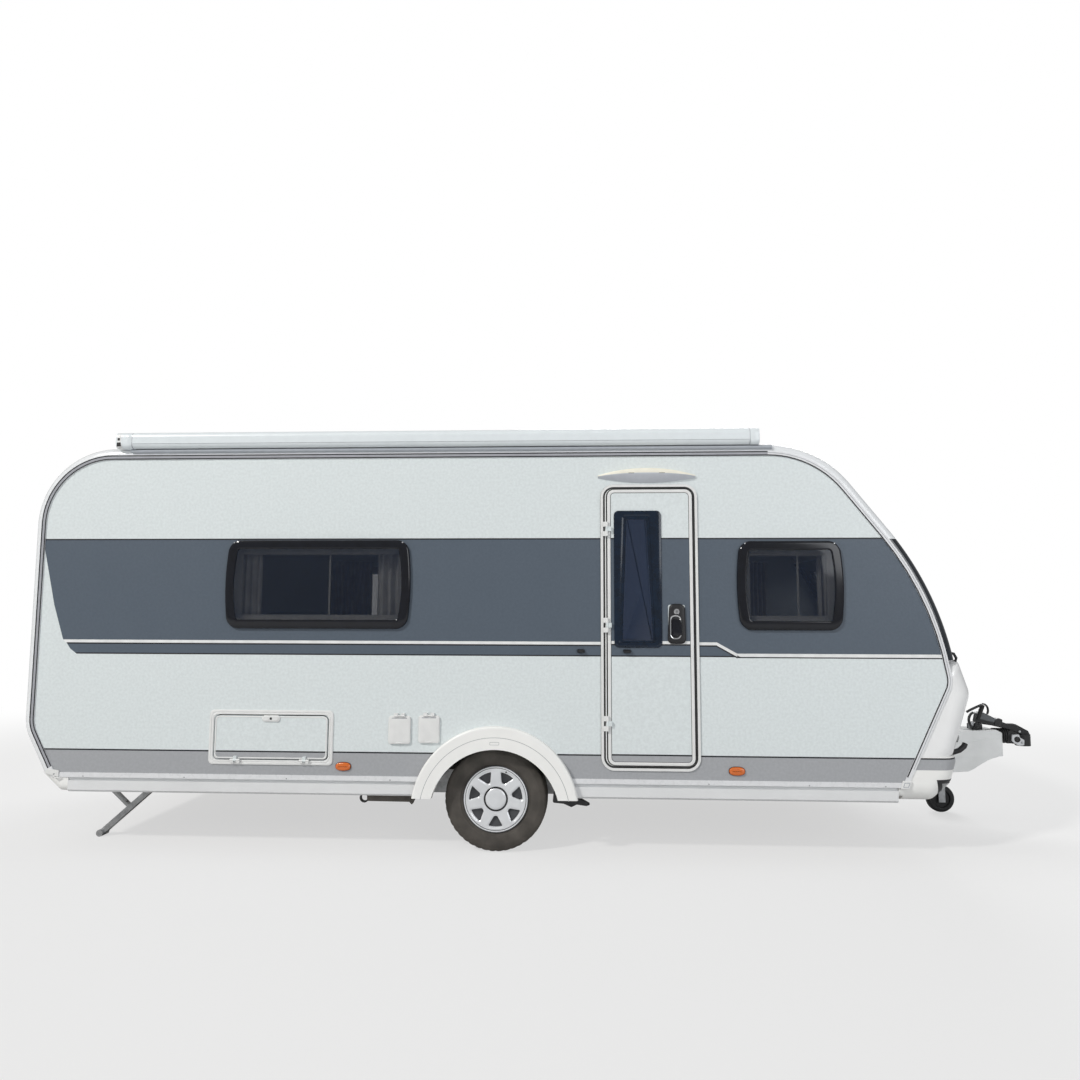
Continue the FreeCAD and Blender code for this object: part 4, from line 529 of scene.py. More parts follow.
FINISHES = {
    SKIN: ["side_wall_right", "side_wall_left", "door_panel", "hatch_lid"],
    GLOSS: ["nose_shell", "gas_locker_lid"],
    PANEL_DARK: ["front_panel"],
    ROOF: ["roof_shell", "rear_panel"],
    MOULDED: ["bumpers", "arch_covers"],
    SKIRT_PAINTED_SHADE: ["skirts"],
    RAIL: ["side_rails"],
    PLASTIC: ["door_frame", "service_flap_mains", "service_flap_water", "roof_lights", "service_boxes"],
    CASE: ["awning_case"],
    BLACK: ["wheel_boxes"],
    COVER_WHITE: ["drawbar_cover"],
    ZINC: ["cross_members", "axle_beam", "steady_mounts", "jockey_sleeve", "jockey_stem", "jockey_fork"]
    + [name for name in nodes if name.startswith(("steady_", "chassis_", "drawbar_arm"))],
    STEEL_BLACK: ["trailing_arms", "coupling_head", "handbrake_lever", "overrun_tube"],
    WHEEL_STEEL_AND_SHADE: ["rim_right", "rim_left"],
    TYRE: ["tyre_right", "tyre_left"],
    RUBBER: ["jockey_wheel"],
    WOOD: ["bed_base", "cabinets", "sofa_base", "bulkhead"],
    BOARD: ["floor"],
    AMBER: ["side_lamps"],
    RED: ["tail_lamps"],
    UPHOLSTERY: ["sofa_cushions"],
    TICKING: ["mattress"],
    GLASS: ["windows_right", "windows_left", "windows_ends", "door_window"],
}
for material, names in FINISHES.items():
    for name in names:
        data = nodes[name].data
        if not data.materials:
            data.materials.append(material)
        for index in range(len(data.materials)):
            data.materials[index] = material

# Painted bands on the walls, cut from the wall's own outer face

FACES_OUT = 0.99
NEAR_FACE = 0.0015
SAME_POINT = 1e-5


def film_of(node, keep, planes):
    """The faces of a node that keep(centre, normal) picks, cut by planes (point, outward normal)."""
    mesh = bmesh.new()
    mesh.from_mesh(nodes[node].data)
    mesh.normal_update()
    doomed = [face for face in mesh.faces if not keep(face.calc_center_median(), face.normal)]
    bmesh.ops.delete(mesh, geom=doomed, context="FACES")
    bmesh.ops.remove_doubles(mesh, verts=mesh.verts[:], dist=SAME_POINT)
    for point, normal in planes:
        geometry = mesh.verts[:] + mesh.edges[:] + mesh.faces[:]
        bmesh.ops.bisect_plane(mesh, geom=geometry, plane_co=Vector(point), plane_no=Vector(normal),
                               clear_outer=True)
    return mesh


def thickened(mesh):
    """Extrudes all faces and gives back the new vertices."""
    top = bmesh.ops.extrude_face_region(mesh, geom=mesh.faces[:])["geom"]
    return [item for item in top if isinstance(item, bmesh.types.BMVert)]


def skin_patch(name, node, side, planes, material, body="caravan", face_y=HALF_WIDTH):
    """A film on the outer face of a wall, between clipping planes (point and outward normal in X-Z)."""
    def outside(centre, normal):
        return normal.y * side >= FACES_OUT and abs(centre.y * side - face_y) <= NEAR_FACE

    mesh = film_of(node, outside, [(at(x, 0, z), (across, 0, up)) for (x, z), (across, up) in planes])
    bmesh.ops.dissolve_limit(mesh, angle_limit=math.radians(1), verts=mesh.verts[:], edges=mesh.edges[:])
    bmesh.ops.triangulate(mesh, faces=mesh.faces[:])
    bmesh.ops.translate(mesh, verts=thickened(mesh), vec=Vector((0, side * FILM, 0)))
    return make(name, mesh, material, body, smooth=20.0)


def between(low, high):
    return [((0, low), (0, -1)), ((0, high), (0, 1))]


def left_of(x):
    return [((x, 0), (1, 0))]


def right_of(x):
    return [((x, 0), (-1, 0))]


def slanted(*points):
    """Keeps what lies ahead of a line through points from its top to its foot."""
    planes = []
    for top, foot in zip(points, points[1:]):
        run = Vector((foot[0] - top[0], foot[1] - top[1])).normalized()
        planes.append((top, (run.y, -run.x)))
    return planes


# The bands drop by a step in front of the door, and slant at the rear
STEP_START = 1.364
STEP_END = 1.486
STEP_LOW = BAND_FOOT - 0.010
FRONT_PIN_TOP = STRIP_FOOT + 0.014
FRONT_PIN_FOOT = STRIP_FOOT - 0.006
FRONT_EDGE_FOOT = STRIP_FOOT - 0.013
PIN_WIDE = 0.02
GREY_FOOT = 0.40
SLANT_FOOT = (-2.786, BAND_FOOT)
REAR_SLANT = slanted((-2.945, 1.88), (-2.858, 1.51), SLANT_FOOT)
PIN_SLANT = slanted(SLANT_FOOT, (-2.77, PIN_FOOT))
STRIP_SLANT = slanted((-2.763, PIN_FOOT), (-2.735, 1.232), (-2.692, STRIP_FOOT - LINE_THIN))
BEFORE_STEP = left_of(STEP_START)
AFTER_STEP = right_of(STEP_END)
step_run = Vector((STEP_END - STEP_START, FRONT_PIN_TOP - BAND_FOOT)).normalized()
STEP_ABOVE = [((STEP_START, STEP_LOW), (step_run.y, -step_run.x))]
STEP_BELOW = [((STEP_START, STEP_LOW), (-step_run.y, step_run.x))]
WALL_FILMS = (
    ("band_line", BAND_TOP - LINE, BAND_TOP, [], LINE_BLACK),
    ("band_main", BAND_FOOT, BAND_TOP - LINE, REAR_SLANT, SLATE),
    ("pin", PIN_FOOT, BAND_FOOT, PIN_SLANT + BEFORE_STEP, PINSTRIPE),
    ("strip_line", PIN_FOOT - LINE, PIN_FOOT, STRIP_SLANT + BEFORE_STEP, LINE_BLACK),
    ("strip", STRIP_FOOT, PIN_FOOT - LINE, STRIP_SLANT + STEP_BELOW, SLATE),
    ("strip_edge", STRIP_FOOT - LINE_THIN, STRIP_FOOT, STRIP_SLANT + STEP_BELOW, LINE_BLACK),
    ("band_front", FRONT_PIN_TOP, BAND_FOOT, AFTER_STEP, SLATE),
    ("pin_front", FRONT_PIN_FOOT, FRONT_PIN_TOP, AFTER_STEP, PINSTRIPE),
    ("front_edge", FRONT_EDGE_FOOT, FRONT_PIN_FOOT, AFTER_STEP, LINE_BLACK),
    ("step_band", STRIP_FOOT, BAND_FOOT, right_of(STEP_START) + left_of(STEP_END) + STEP_ABOVE, SLATE),
    ("grey_line", GREY_TOP - LINE, GREY_TOP, [], LINE_BLACK),
    ("grey", GREY_FOOT, GREY_TOP - LINE, [], BAND_GREY))
for side, label in SIDES:
    for name, low, high, ends, material in WALL_FILMS:
        skin_patch("%s_%s" % (name, label), "side_wall_" + label, side, between(low, high) + ends, material)


def slope_stripe(name, side, shift_z, width, material):
    """The slanting run of a stripe in front of the door."""
    start = Vector((STEP_START, BAND_FOOT + shift_z))
    end = Vector((STEP_END, FRONT_PIN_TOP + shift_z))
    drop = Vector((0, width))
    outline = [end, end - drop, start - drop, start]
    plate(name, outline, (side * HALF_WIDTH, side * (HALF_WIDTH + 2 * FILM)), material)


for side, label in SIDES:
    slope_stripe("step_pin_" + label, side, 0, PIN_WIDE, PINSTRIPE)
    slope_stripe("step_edge_" + label, side, -PIN_WIDE, LINE, LINE_BLACK)

# Rails: black seams and the grey insert along both edges of each side wall

INSERT_END = 1.74
SILL_TOP = 0.47
LONGEST_RUN = 0.06


def dense(points):
    """The outline with points added along its long runs."""
    filled = []
    for index, point in enumerate(points):
        after = points[(index + 1) % len(points)]
        parts = max(1, math.ceil((after - point).length / LONGEST_RUN))
        filled += [point.lerp(after, part / parts) for part in range(parts)]
    return filled


side_path = dense(rounded(SIDE_OUTLINE, step=math.radians(4)))


def rail_seam(name, side, near, far, lift, material, keep):
    """A raised line along the rail between two insets from its outer edge."""
    outer, inner = inset(side_path, near), inset(side_path, far)
    runs, run = [], []
    for index in [*range(len(side_path)), 0]:
        if keep(side_path[index]):
            run.append(index)
        elif run:
            runs.append(run)
            run = []
    runs.append(run)
    mesh = bmesh.new()
    low, high = side * RAIL_FACE, side * (RAIL_FACE + lift)
    section = ((outer, low), (outer, high), (inner, high), (inner, low))
    for run in runs:
        if len(run) > 1:
            stack(mesh, [[mesh.verts.new(at(edge[index].x, y, edge[index].y)) for edge, y in section]
                         for index in run])
    return make(name, mesh, material, smooth=30.0)


def above_sill(point):
    return point.y > SILL_TOP


def roof_and_rear(point):
    return point.y > SILL_TOP and point.x < INSERT_END


def nose_side(point):
    return point.y > 0.5 and point.x > INSERT_END - 0.05


for side, label in SIDES:
    for name, near, far, lift, material, keep in (
            ("inner_seam", 0.0225, 0.030, FILM, LINE_BLACK, above_sill),
            ("insert", 0.0085, 0.0225, FILM / 2, RAIL_INSERT, roof_and_rear),
            ("outer_seam", 0.001, 0.0085, FILM, LINE_BLACK, roof_and_rear),
            ("front_groove", 0.0095, 0.0125, FILM, RAIL_INSERT, nose_side)):
        rail_seam("rail_%s_%s" % (name, label), side, near, far, lift, material, keep)

# Windows: black frames with tinted panes, cassettes and curtains behind

PANE_BACK = 0.001
PANE_BOW = 0.022
PANE_RADIUS = 0.07
PANE_TURN = 0.014
PANE_BORDER = 0.056
BOW_ARCS = 9
BOW_PARTS = 14
CURTAIN_Y = HALF_WIDTH - 0.105
CURTAIN_ROWS = 12
FOLD_COLUMNS = 10
FOLD_DEPTH = 0.019
SWAY = 0.004
# (inset, height above the wall) of each loop
FRAME_STEPS = [
    (0, PANE_BACK), (0, 0.013), (0.002, 0.0175), (0.006, 0.0205), (0.012, 0.0222), (0.020, 0.0232),
    (0.046, 0.0245), (0.051, 0.0245), (0.055, 0.0225), (PANE_BORDER, 0.019), (PANE_BORDER, 0.012),
    (0.040, 0.010), (0.036, PANE_BACK)]
PANE_STEPS = [
    (PANE_BORDER - 0.004, 0.0165), (PANE_BORDER - 0.004, 0.0205), (0.066, 0.0216), (0.086, 0.0224),
    (0.12, 0.0228)]
CASSETTE_STEPS = [
    (0, -0.030), (-0.012, -0.033), (-0.014, -0.036), (-0.014, -0.052), (0.045, -0.056), (0.052, -0.050),
    (0.052, -0.030)]
STUD = [(0, 0.0045), (0.0012, 0.0045), (0.002, 0.003), (0.0022, 0)]


def shells(outline, steps):
    """Loops of an outline, each inset by an amount at a depth."""
    if callable(outline):
        return [(outline(amount), depth) for amount, depth in steps]
    return [(inset(outline, amount) if amount else outline, depth) for amount, depth in steps]


def formed(name, outline, steps, material, side=-1, base=HALF_WIDTH, closed=False, **looks):
    """A rounded form on a wall: (inset, height above the base face) loops of one outline."""
    loops = [ring(points, side * (base + depth)) for points, depth in shells(outline, steps)]
    return loft(name, loops, material, closed, **looks)


def bowed(corners, amount):
    """A window's outline, whose two sides swell outwards, moved inwards by an amount."""
    low_u, low_v, high_u, high_v = corners
    half_u, half_v = (high_u - low_u) / 2 - amount, (high_v - low_v) / 2 - amount
    middle = Vector(((low_u + high_u) / 2, (low_v + high_v) / 2))
    outline = panel(-half_u, -half_v, half_u, half_v, max(PANE_TURN, PANE_RADIUS - amount), BOW_ARCS)
    points = []
    for index, point in enumerate(outline):
        after = outline[(index + 1) % len(outline)]
        parts = BOW_PARTS if (index + 1) % (BOW_ARCS + 1) == 0 else 1
        for part in range(parts):
            place = point.lerp(after, part / parts)
            height = place.y / half_v
            points.append(middle + Vector((place.x * (1 - PANE_BOW * height * height / half_u), place.y)))
    return points


def curtain(name, low_x, high_x, low_z, high_z, y, folds):
    """A gathered curtain: an open sheet with folds that tighten towards its heading."""
    mesh = bmesh.new()
    columns = folds * FOLD_COLUMNS
    grid, widths = [], []
    for row in range(CURTAIN_ROWS + 1):
        share = row / CURTAIN_ROWS
        z = high_z + (low_z - high_z) * share
        depth = FOLD_DEPTH * (0.55 + 0.45 * share)
        line = []
        for column in range(columns + 1):
            part = column / columns
            sway = SWAY * math.sin(5 * part + 3 * share)
            x = low_x + (high_x - low_x) * part + sway * math.sin(math.pi * part)
            turn = 2 * math.pi * folds * part + 0.5 * math.sin(4 * share)
            line.append(Vector((x, y + depth * math.sin(turn), z)))
        widths.append(sum((b - a).length for a, b in zip(line, line[1:])))
        grid.append([mesh.verts.new(at(*point)) for point in line])
    for upper, lower in zip(grid, grid[1:]):
        for column in range(columns):
            mesh.faces.new((upper[column], upper[column + 1], lower[column + 1], lower[column]))
    piece = make(name, mesh, CURTAIN, slot="upholstery", smooth=80)
    return piece


def side_window(name, corners, side):
    """A frame and a pane, with the cassette, screen, rail and curtains behind them."""
    low_x, low_z, high_x, high_z = corners

    def outline(amount):
        return bowed(corners, amount)

    frame_piece = formed(name + "_frame", outline, FRAME_STEPS, BLACK_GLOSS, side, closed=True,
                         slot="acrylic")
    pane = formed(name + "_pane", outline, PANE_STEPS, GLASS, side, slot="acrylic")
    formed(name + "_cassette", framed(corners, 0.036, 0.05), CASSETTE_STEPS, LINING, side, closed=True,
           slot="white_plastic")
    stile_x, stile_y = (low_x + high_x) / 2, side * (HALF_WIDTH - 0.047)
    block(name + "_screen_stile", (stile_x + 0.055, stile_y - 0.003, low_z + 0.085),
          (stile_x + 0.067, stile_y + 0.003, high_z - 0.085), LINING, 0.001)
    rail_y, rail_ends = side * CURTAIN_Y, (low_x - 0.03, high_x + 0.03)
    rail = tube(name + "_rail", [at(x, rail_y, high_z + 0.03) for x in rail_ends], 0.008, PLASTIC)
    low_y, high_y = on_side(side, CURTAIN_Y, INNER_FACE)
    for index, x in enumerate(rail_ends):
        block("%s_rail_end_%d" % (name, index), (x - 0.008, low_y - 0.004, high_z + 0.018),
              (x + 0.008, high_y + 0.004, high_z + 0.042), PLASTIC)
    drawn, folds = (0.20, 5) if side < 0 else (0.40, 8)
    wide = (high_x - low_x) * drawn
    spans = ((low_x - 0.02, low_x + wide * 0.8), (high_x - wide, high_x + 0.02))
    for index, (start, end) in enumerate(spans):
        curtain("%s_curtain_%d" % (name, index), start, end, low_z - 0.06, high_z + 0.026, rail_y, folds)
    # Catches that show as small bright points at the top corners
    for index, x in enumerate((low_x + 0.052, high_x - 0.052)):
        lathe("%s_stud_%d" % (name, index), STUD, at(x, side * (HALF_WIDTH + 0.0245), high_z - 0.016), "y",
              CHROME, 14)
    return [frame_piece, pane]


for side, label in SIDES:
    pieces = []
    for place, corners in (("rear", REAR_LIGHT), ("front", FRONT_LIGHT)):
        pieces += side_window("window_%s_%s" % (place, label), corners, side)
    for piece in pieces:
        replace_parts(piece, "windows_" + label)

# Door: gasket, rim, stripes, window, handle and catches

DOOR_FACE = 0.006
FRAME_FACE = 0.009
DOOR_SKIN = HALF_WIDTH + DOOR_FACE
DOOR_SHIFT = 0.006
GREY_SHIFT = 0.004
GASKET_IN = 0.016
leaf_edge = panel(DOOR[0] + 0.042, DOOR[1] + 0.032, DOOR[2] - 0.032, DOOR[3] - 0.032, 0.045)
formed("door_flange_seam", panel(*DOOR, DOOR_RADIUS), [
    (-0.001, 0.0), (-0.001, 0.0045), (0.0006, 0.0045), (0.0006, 0.0)], RUBBER, closed=True)
formed("door_gasket", framed(DOOR, GASKET_IN, DOOR_RADIUS - GASKET_IN), [
    (0, FRAME_FACE), (0.002, FRAME_FACE + 0.0014), (0.006, FRAME_FACE + 0.002), (0.0095, FRAME_FACE + 0.0014),
    (0.0115, FRAME_FACE)], RUBBER, closed=True)
formed("door_rim", leaf_edge, [
    (0, DOOR_FACE), (0.001, DOOR_FACE + 0.002), (0.004, DOOR_FACE + 0.003), (0.016, DOOR_FACE + 0.003),
    (0.019, DOOR_FACE + 0.002), (0.020, DOOR_FACE)], PLASTIC, closed=True, body="door", slot="alu_trim")
formed("door_rim_seam", leaf_edge, [
    (0.020, DOOR_FACE), (0.020, DOOR_FACE + 0.0008), (0.0225, DOOR_FACE + 0.0008), (0.0225, DOOR_FACE)],
    LINE_BLACK, closed=True, body="door")
for name, low, high, material in (
        ("line", BAND_TOP - LINE, BAND_TOP, LINE_BLACK),
        ("band", BAND_FOOT + DOOR_SHIFT, BAND_TOP - LINE, SLATE),
        ("pin", PIN_FOOT + DOOR_SHIFT, BAND_FOOT + DOOR_SHIFT, PINSTRIPE),
        ("strip_line", PIN_FOOT + DOOR_SHIFT - LINE, PIN_FOOT + DOOR_SHIFT, LINE_BLACK),
        ("strip", STRIP_FOOT, PIN_FOOT + DOOR_SHIFT - LINE, SLATE),
        ("strip_edge", STRIP_FOOT - LINE_THIN, STRIP_FOOT, LINE_BLACK),
        ("grey_line", GREY_TOP - LINE + GREY_SHIFT, GREY_TOP + GREY_SHIFT, LINE_BLACK),
        ("grey", 0.5, GREY_TOP - LINE + GREY_SHIFT, BAND_GREY)):
    skin_patch("door_" + name, "door_panel", -1, between(low, high), material, "door", DOOR_SKIN)

ridge_outer = even([(0.769, 1.287), (0.988, 1.287), (0.956, 2.071), (0.798, 2.071)], 0.012, 10)
ridge_inner = even([(0.781, 1.297), (0.976, 1.297), (0.938, 2.055), (0.811, 2.055)], 0.008, 10)
light_edge = framed(DOOR_LIGHT, 0, 0.03, 10)
# (outline, height above the door's skin) of each loop
LIGHT_LOOPS = (
    (light_edge, 0.0), (light_edge, 0.005), (inset(light_edge, 0.0015), 0.0072),
    (inset(light_edge, 0.005), 0.0084),
    (inset(ridge_outer, -0.010), 0.0088), (inset(ridge_outer, -0.003), 0.0062), (ridge_outer, 0.0062),
    (inset(ridge_outer, 0.003), 0.0088), (ridge_inner, 0.0088), (inset(ridge_inner, 0.003), 0.006),
    (inset(ridge_inner, 0.003), 0.0))
door_light_frame = loft("door_light_frame",
                        [ring(points, -(DOOR_SKIN + depth)) for points, depth in LIGHT_LOOPS],
                        NAVY_GLOSS, closed=True, body="door", slot="acrylic")
door_light_pane = formed("door_light_pane", ridge_inner, [(0, 0.0035), (0, 0.0055), (0.012, 0.0062)],
                         GLASS_DARK, base=DOOR_SKIN, body="door", slot="acrylic")
for piece in (door_light_frame, door_light_pane):
    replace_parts(piece, "door_window")
formed("door_blind_frame", framed(DOOR_LIGHT, 0.02, 0.03), [
    (0, -0.031), (0, -0.044), (0.030, -0.044), (0.030, -0.031)], LINING, closed=True, body="door")

handle_edge = rounded([(1.061, 1.280, 0.030), (1.176, 1.280, 0.030), (1.170, 1.526, 0.036),
                       (1.074, 1.526, 0.030)])
lever_edge = rounded([(1.088, 1.322, 0.014), (1.150, 1.336, 0.014), (1.150, 1.422, 0.014),
                      (1.088, 1.440, 0.018)])
formed("handle_plate", handle_edge, [
    (0, DOOR_FACE), (0, 0.014), (0.003, 0.019), (0.009, 0.022), (0.02, 0.0232)], BLACK, body="door",
    slot="black_plastic")
formed("handle_pocket", panel(1.080, 1.312, 1.142, 1.452, 0.026), [
    (-0.005, 0.0225), (-0.003, 0.0255), (0.001, 0.0255), (0.004, 0.0235), (0.004, 0.0225)], CHROME,
    closed=True, body="door")
formed("handle_lever", lever_edge, [(0, 0.0235), (0, 0.029), (0.003, 0.033), (0.010, 0.0345)], BLACK_GLOSS,
       body="door")
lathe("handle_lock", [
    (0, 0.017), (-0.004, 0.017), (-0.0062, 0.0145), (-0.0062, 0.006), (-0.0045, 0.005), (-0.0045, 0)],
    at(1.118, -(HALF_WIDTH + 0.022), 1.478), "y", CHROME, 28, body="door")
formed("handle_key_slot", panel(1.1165, 1.472, 1.1195, 1.484, 0.001), [(0, 0.0262), (0, 0.0286)], BLACK,
       body="door")


def wall_catch(name, x, body, base):
    """A moulded hook that holds the open door: a foot on the wall and a nose."""
    outline = even([(x - 0.024, 1.222), (x + 0.024, 1.222), (x + 0.020, 1.244), (x - 0.028, 1.244)], 0.006)
    formed(name, outline, [(0, 0), (0, 0.006), (0.003, 0.014), (0.004, 0.026), (0.006, 0.030)], BLACK,
           base=base, body=body)


wall_catch("wall_catch", 0.530, "caravan", HALF_WIDTH)
wall_catch("door_catch", 0.815, "door", DOOR_SKIN)

# Lamp over the door

CANOPY = (0.637, 2.286, 1.246, 2.379)
CANOPY_REACH = 0.0505
CANOPY_STATIONS = 28
CANOPY_DROP, CANOPY_RISE = 0.046, 0.030
# (share of the reach, share of the height) round its section
CANOPY_SHAPE = [(0, 1.0), (0.50, 0.985), (0.80, 0.95), (0.95, 0.88), (1.0, 0.80), (1.0, 0.62), (0.975, 0.58),
                (0.93, 0.54), (0.50, 0.22), (0, 0.0)]
canopy_loops = []
for station in range(CANOPY_STATIONS + 1):
    share = 2 * station / CANOPY_STATIONS - 1
    eased = math.sin(share * math.pi / 2)
    x = (CANOPY[0] + CANOPY[2]) / 2 + eased * (CANOPY[2] - CANOPY[0]) / 2
    reach = CANOPY_REACH * max(0.12, 1 - abs(eased) ** 3) ** 0.5
    top = CANOPY[3] - CANOPY_DROP * eased * eased
    low = CANOPY[1] + CANOPY_RISE * eased * eased
    canopy_loops.append([at(x, -(HALF_WIDTH + reach * out), low + (top - low) * height)
                         for out, height in CANOPY_SHAPE])
canopy = loft("door_canopy", canopy_loops, PLASTIC_OLD, slot="white_plastic", smooth=50)
# Faces that point down take the grey-blue painted shade of the canopy's underside
canopy.data.materials.append(CANOPY_PAINTED_SHADE)
for polygon in canopy.data.polygons:
    if polygon.normal.z < -0.3:
        polygon.material_index = 1
for index, x in enumerate((0.845, 1.035)):
    block("canopy_slot_%d" % index, (x - 0.018, -(HALF_WIDTH + CANOPY_REACH), 2.3405),
          (x + 0.018, -(HALF_WIDTH + 0.046), 2.3425), BLACK, 0)

# Marker lamps: amber lens on a dark seat

MARKER_Z = 0.516
MARKER_HALF = (0.050, 0.0275)
OVAL_POINTS = 44
OVAL_SQUARE = 0.80
MARKER_SEAT = [(0, 0), (0, 0.003), (0.0025, 0.004)]
MARKER_LENS = [(0.0025, 0.004), (0.003, 0.0095), (0.006, 0.0128), (0.011, 0.0148), (0.018, 0.0158),
               (0.0245, 0.016)]


def oval(u, v, half_u, half_v):
    """A full, slightly squared oval."""
    points = []
    for step in range(OVAL_POINTS):
        angle = 2 * math.pi * step / OVAL_POINTS
        cosine, sine = math.cos(angle), math.sin(angle)
        points.append(Vector((u + half_u * math.copysign(abs(cosine) ** OVAL_SQUARE, cosine),
                              v + half_v * math.copysign(abs(sine) ** OVAL_SQUARE, sine))))
    return points


marker_pieces = [canopy]
for side, label in SIDES:
    for place, x in (("rear", -0.945), ("front", 1.471)):
        tag = "%s_%s" % (place, label)
        outline = oval(x, MARKER_Z, *MARKER_HALF)
        seat = formed("marker_seat_" + tag, outline, MARKER_SEAT, RUBBER, side)
        marker = formed("marker_lens_" + tag, outline, MARKER_LENS, AMBER, side, slot="lamp_lens")
        marker_pieces += [seat, marker]
        for index, spot in enumerate((-0.018, 0.014)):
            lathe("marker_bulb_%s_%d" % (tag, index), [(0.0, 0.006), (0.0012, 0.005), (0.0016, 0)],
                  at(x + spot, side * (HALF_WIDTH + 0.0146), MARKER_Z), "y", LINE_BLACK, 12)
for piece in marker_pieces:
    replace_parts(piece, "side_lamps")

# Storage hatch: moulded frame, banded lid and an oval lock

HATCH_WIDE = 0.029
LID_IN = 0.038
LOCK_X = -1.408
LOCK_Z = HATCH[3] - 0.052


def hatch_outline(amount):
    return framed(HATCH, amount, 0.030, 8)


def lid_outline(amount):
    return framed(HATCH, LID_IN + amount, 0.02, 6)


formed("hatch_frame", hatch_outline, [
    (0, 0), (0, 0.004), (0.002, 0.0075), (0.006, 0.009), (0.013, 0.009), (0.0155, 0.0066), (0.018, 0.0066),
    (0.0205, 0.0088), (0.026, 0.0088), (HATCH_WIDE, 0.006), (HATCH_WIDE, 0)], PLASTIC, closed=True,
    slot="white_plastic")
for name, low, high, material in (("hatch_grey", 0.5, GREY_TOP - LINE, BAND_GREY),
                                  ("hatch_grey_line", GREY_TOP - LINE, GREY_TOP, LINE_BLACK)):
    skin_patch(name, "hatch_lid", -1, between(low, high), material, "storage_hatch", DOOR_SKIN)
formed("hatch_lid_bead", lid_outline, [
    (0, DOOR_FACE), (0, DOOR_FACE + 0.0018), (0.0015, DOOR_FACE + 0.0026), (0.007, DOOR_FACE + 0.0026),
    (0.0085, DOOR_FACE + 0.0012), (0.0085, DOOR_FACE)], PLASTIC, closed=True, body="storage_hatch")
formed("hatch_lock", panel(LOCK_X - 0.058, LOCK_Z - 0.020, LOCK_X + 0.058, LOCK_Z + 0.020, 0.0195), [
    (0, DOOR_FACE), (0, 0.010), (0.002, 0.0135), (0.006, 0.0152), (0.012, 0.0158)], PLASTIC,
    body="storage_hatch", slot="white_plastic")
for index, x in enumerate((LOCK_X - 0.030, LOCK_X + 0.030)):
    formed("hatch_lock_pull_%d" % index, panel(x - 0.017, LOCK_Z - 0.011, x + 0.017, LOCK_Z + 0.011, 0.0105),
           [(0, 0.0152), (0.0005, 0.0172), (0.0035, 0.0172), (0.004, 0.0164)], PLASTIC, body="storage_hatch")
lathe("hatch_lock_key", [(0, 0.0075), (-0.002, 0.0072), (-0.0024, 0.0045), (-0.0016, 0.004), (-0.0016, 0)],
      at(LOCK_X, -(HALF_WIDTH + 0.0155), LOCK_Z), "y", STEEL_BLACK, 20, body="storage_hatch")

# Service covers


def service_cover(name, corners, body):
    """A seat on the wall, and a moulded cover with a lip and a grip."""
    low_x, low_z, high_x, high_z = corners
    middle = (low_x + high_x) / 2

    def outline(amount):
        return framed(corners, amount, max(0.008, 0.018 - amount), 7)

    formed(name + "_seat", outline, [(0, 0), (0, 0.002), (0.0015, 0.003), (0.009, 0.003), (0.009, 0)],
           PLASTIC, closed=True, slot="white_plastic")
    cover = formed(name + "_cover", outline, [
        (0.002, 0.0040), (0.001, 0.0105), (0.003, 0.0138), (0.008, 0.0152), (0.016, 0.0163), (0.030, 0.0172)],
        PLASTIC, body=body, slot="white_plastic")
    formed(name + "_lip", panel(low_x + 0.022, high_z - 0.0165, high_x - 0.022, high_z - 0.0125, 0.002, 3),
           [(0, 0.0150), (0, 0.0168)], RAIL_INSERT, body=body)
    formed(name + "_grip", panel(middle - 0.02, low_z + 0.004, middle + 0.02, low_z + 0.013, 0.004),
           [(0, 0.0120), (0, 0.0175), (0.0015, 0.0185)], PLASTIC, body=body)
    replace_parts(cover, "service_flap_" + name)


service_cover("mains", MAINS_FLAP, "mains_flap")
service_cover("water", WATER_FLAP, "water_flap")

# Wheels: tyres with a cut tread, and trims with seven windows over the rims

TYRE_HALF = 0.0975
TYRE_R = 0.320
RIM_R = 0.203
TREAD_STEPS = 132
GROOVES = (-0.054, -0.019, 0.019, 0.054)
GROOVE_HALF = 0.0038
GROOVE_DEPTH = 0.007
BLOCK_CUT, CROWN_CUT = 0.0035, 0.0022
# (across, radius above the rim, 1 on the shoulder)
SIDEWALL = (
    (-0.080, -0.006, 0), (-0.0855, 0.001, 0), (-0.087, 0.008, 0), (-0.0885, 0.0135, 0), (-0.0925, 0.0165, 0),
    (-0.0945, 0.024, 0), (-0.0965, 0.042, 0), (-TYRE_HALF + 0.0002, 0.058, 0), (-0.0968, 0.0725, 0),
    (-0.0958, 0.074, 0), (-0.0955, 0.080, 0), (-0.0948, 0.0815, 0), (-0.0925, 0.092, 0), (-0.0895, 0.1005, 1),
    (-0.0855, 0.107, 1), (-0.079, 0.112, 1))
SECTORS = 7
WINDOW_LOW, WINDOW_HIGH = 0.102, 0.166
WINDOW_IN, WINDOW_OUT = 0.0100, 0.0445
WINDOW_TURN, WINDOW_TUCK = 0.008, 0.006
WINDOW_SHARES = (0, 0.04, 0.1, 0.2, 0.35, 0.5, 0.65, 0.8, 0.9, 0.96, 1.0)
SPOKE_SHARES = (0.0, 0.12, 0.24, 0.45, 0.7, 1.0)
TRIM_RADII = [0.074, 0.080, 0.087, 0.093, 0.098]
TRIM_RADII += [WINDOW_LOW + (WINDOW_HIGH - WINDOW_LOW) * share for share in WINDOW_SHARES]
TRIM_RADII += [0.171, 0.178, 0.184, 0.188, 0.192, 0.196, 0.200, 0.2025]
TRIM_THICK = 0.011
CAP_IN = 0.012
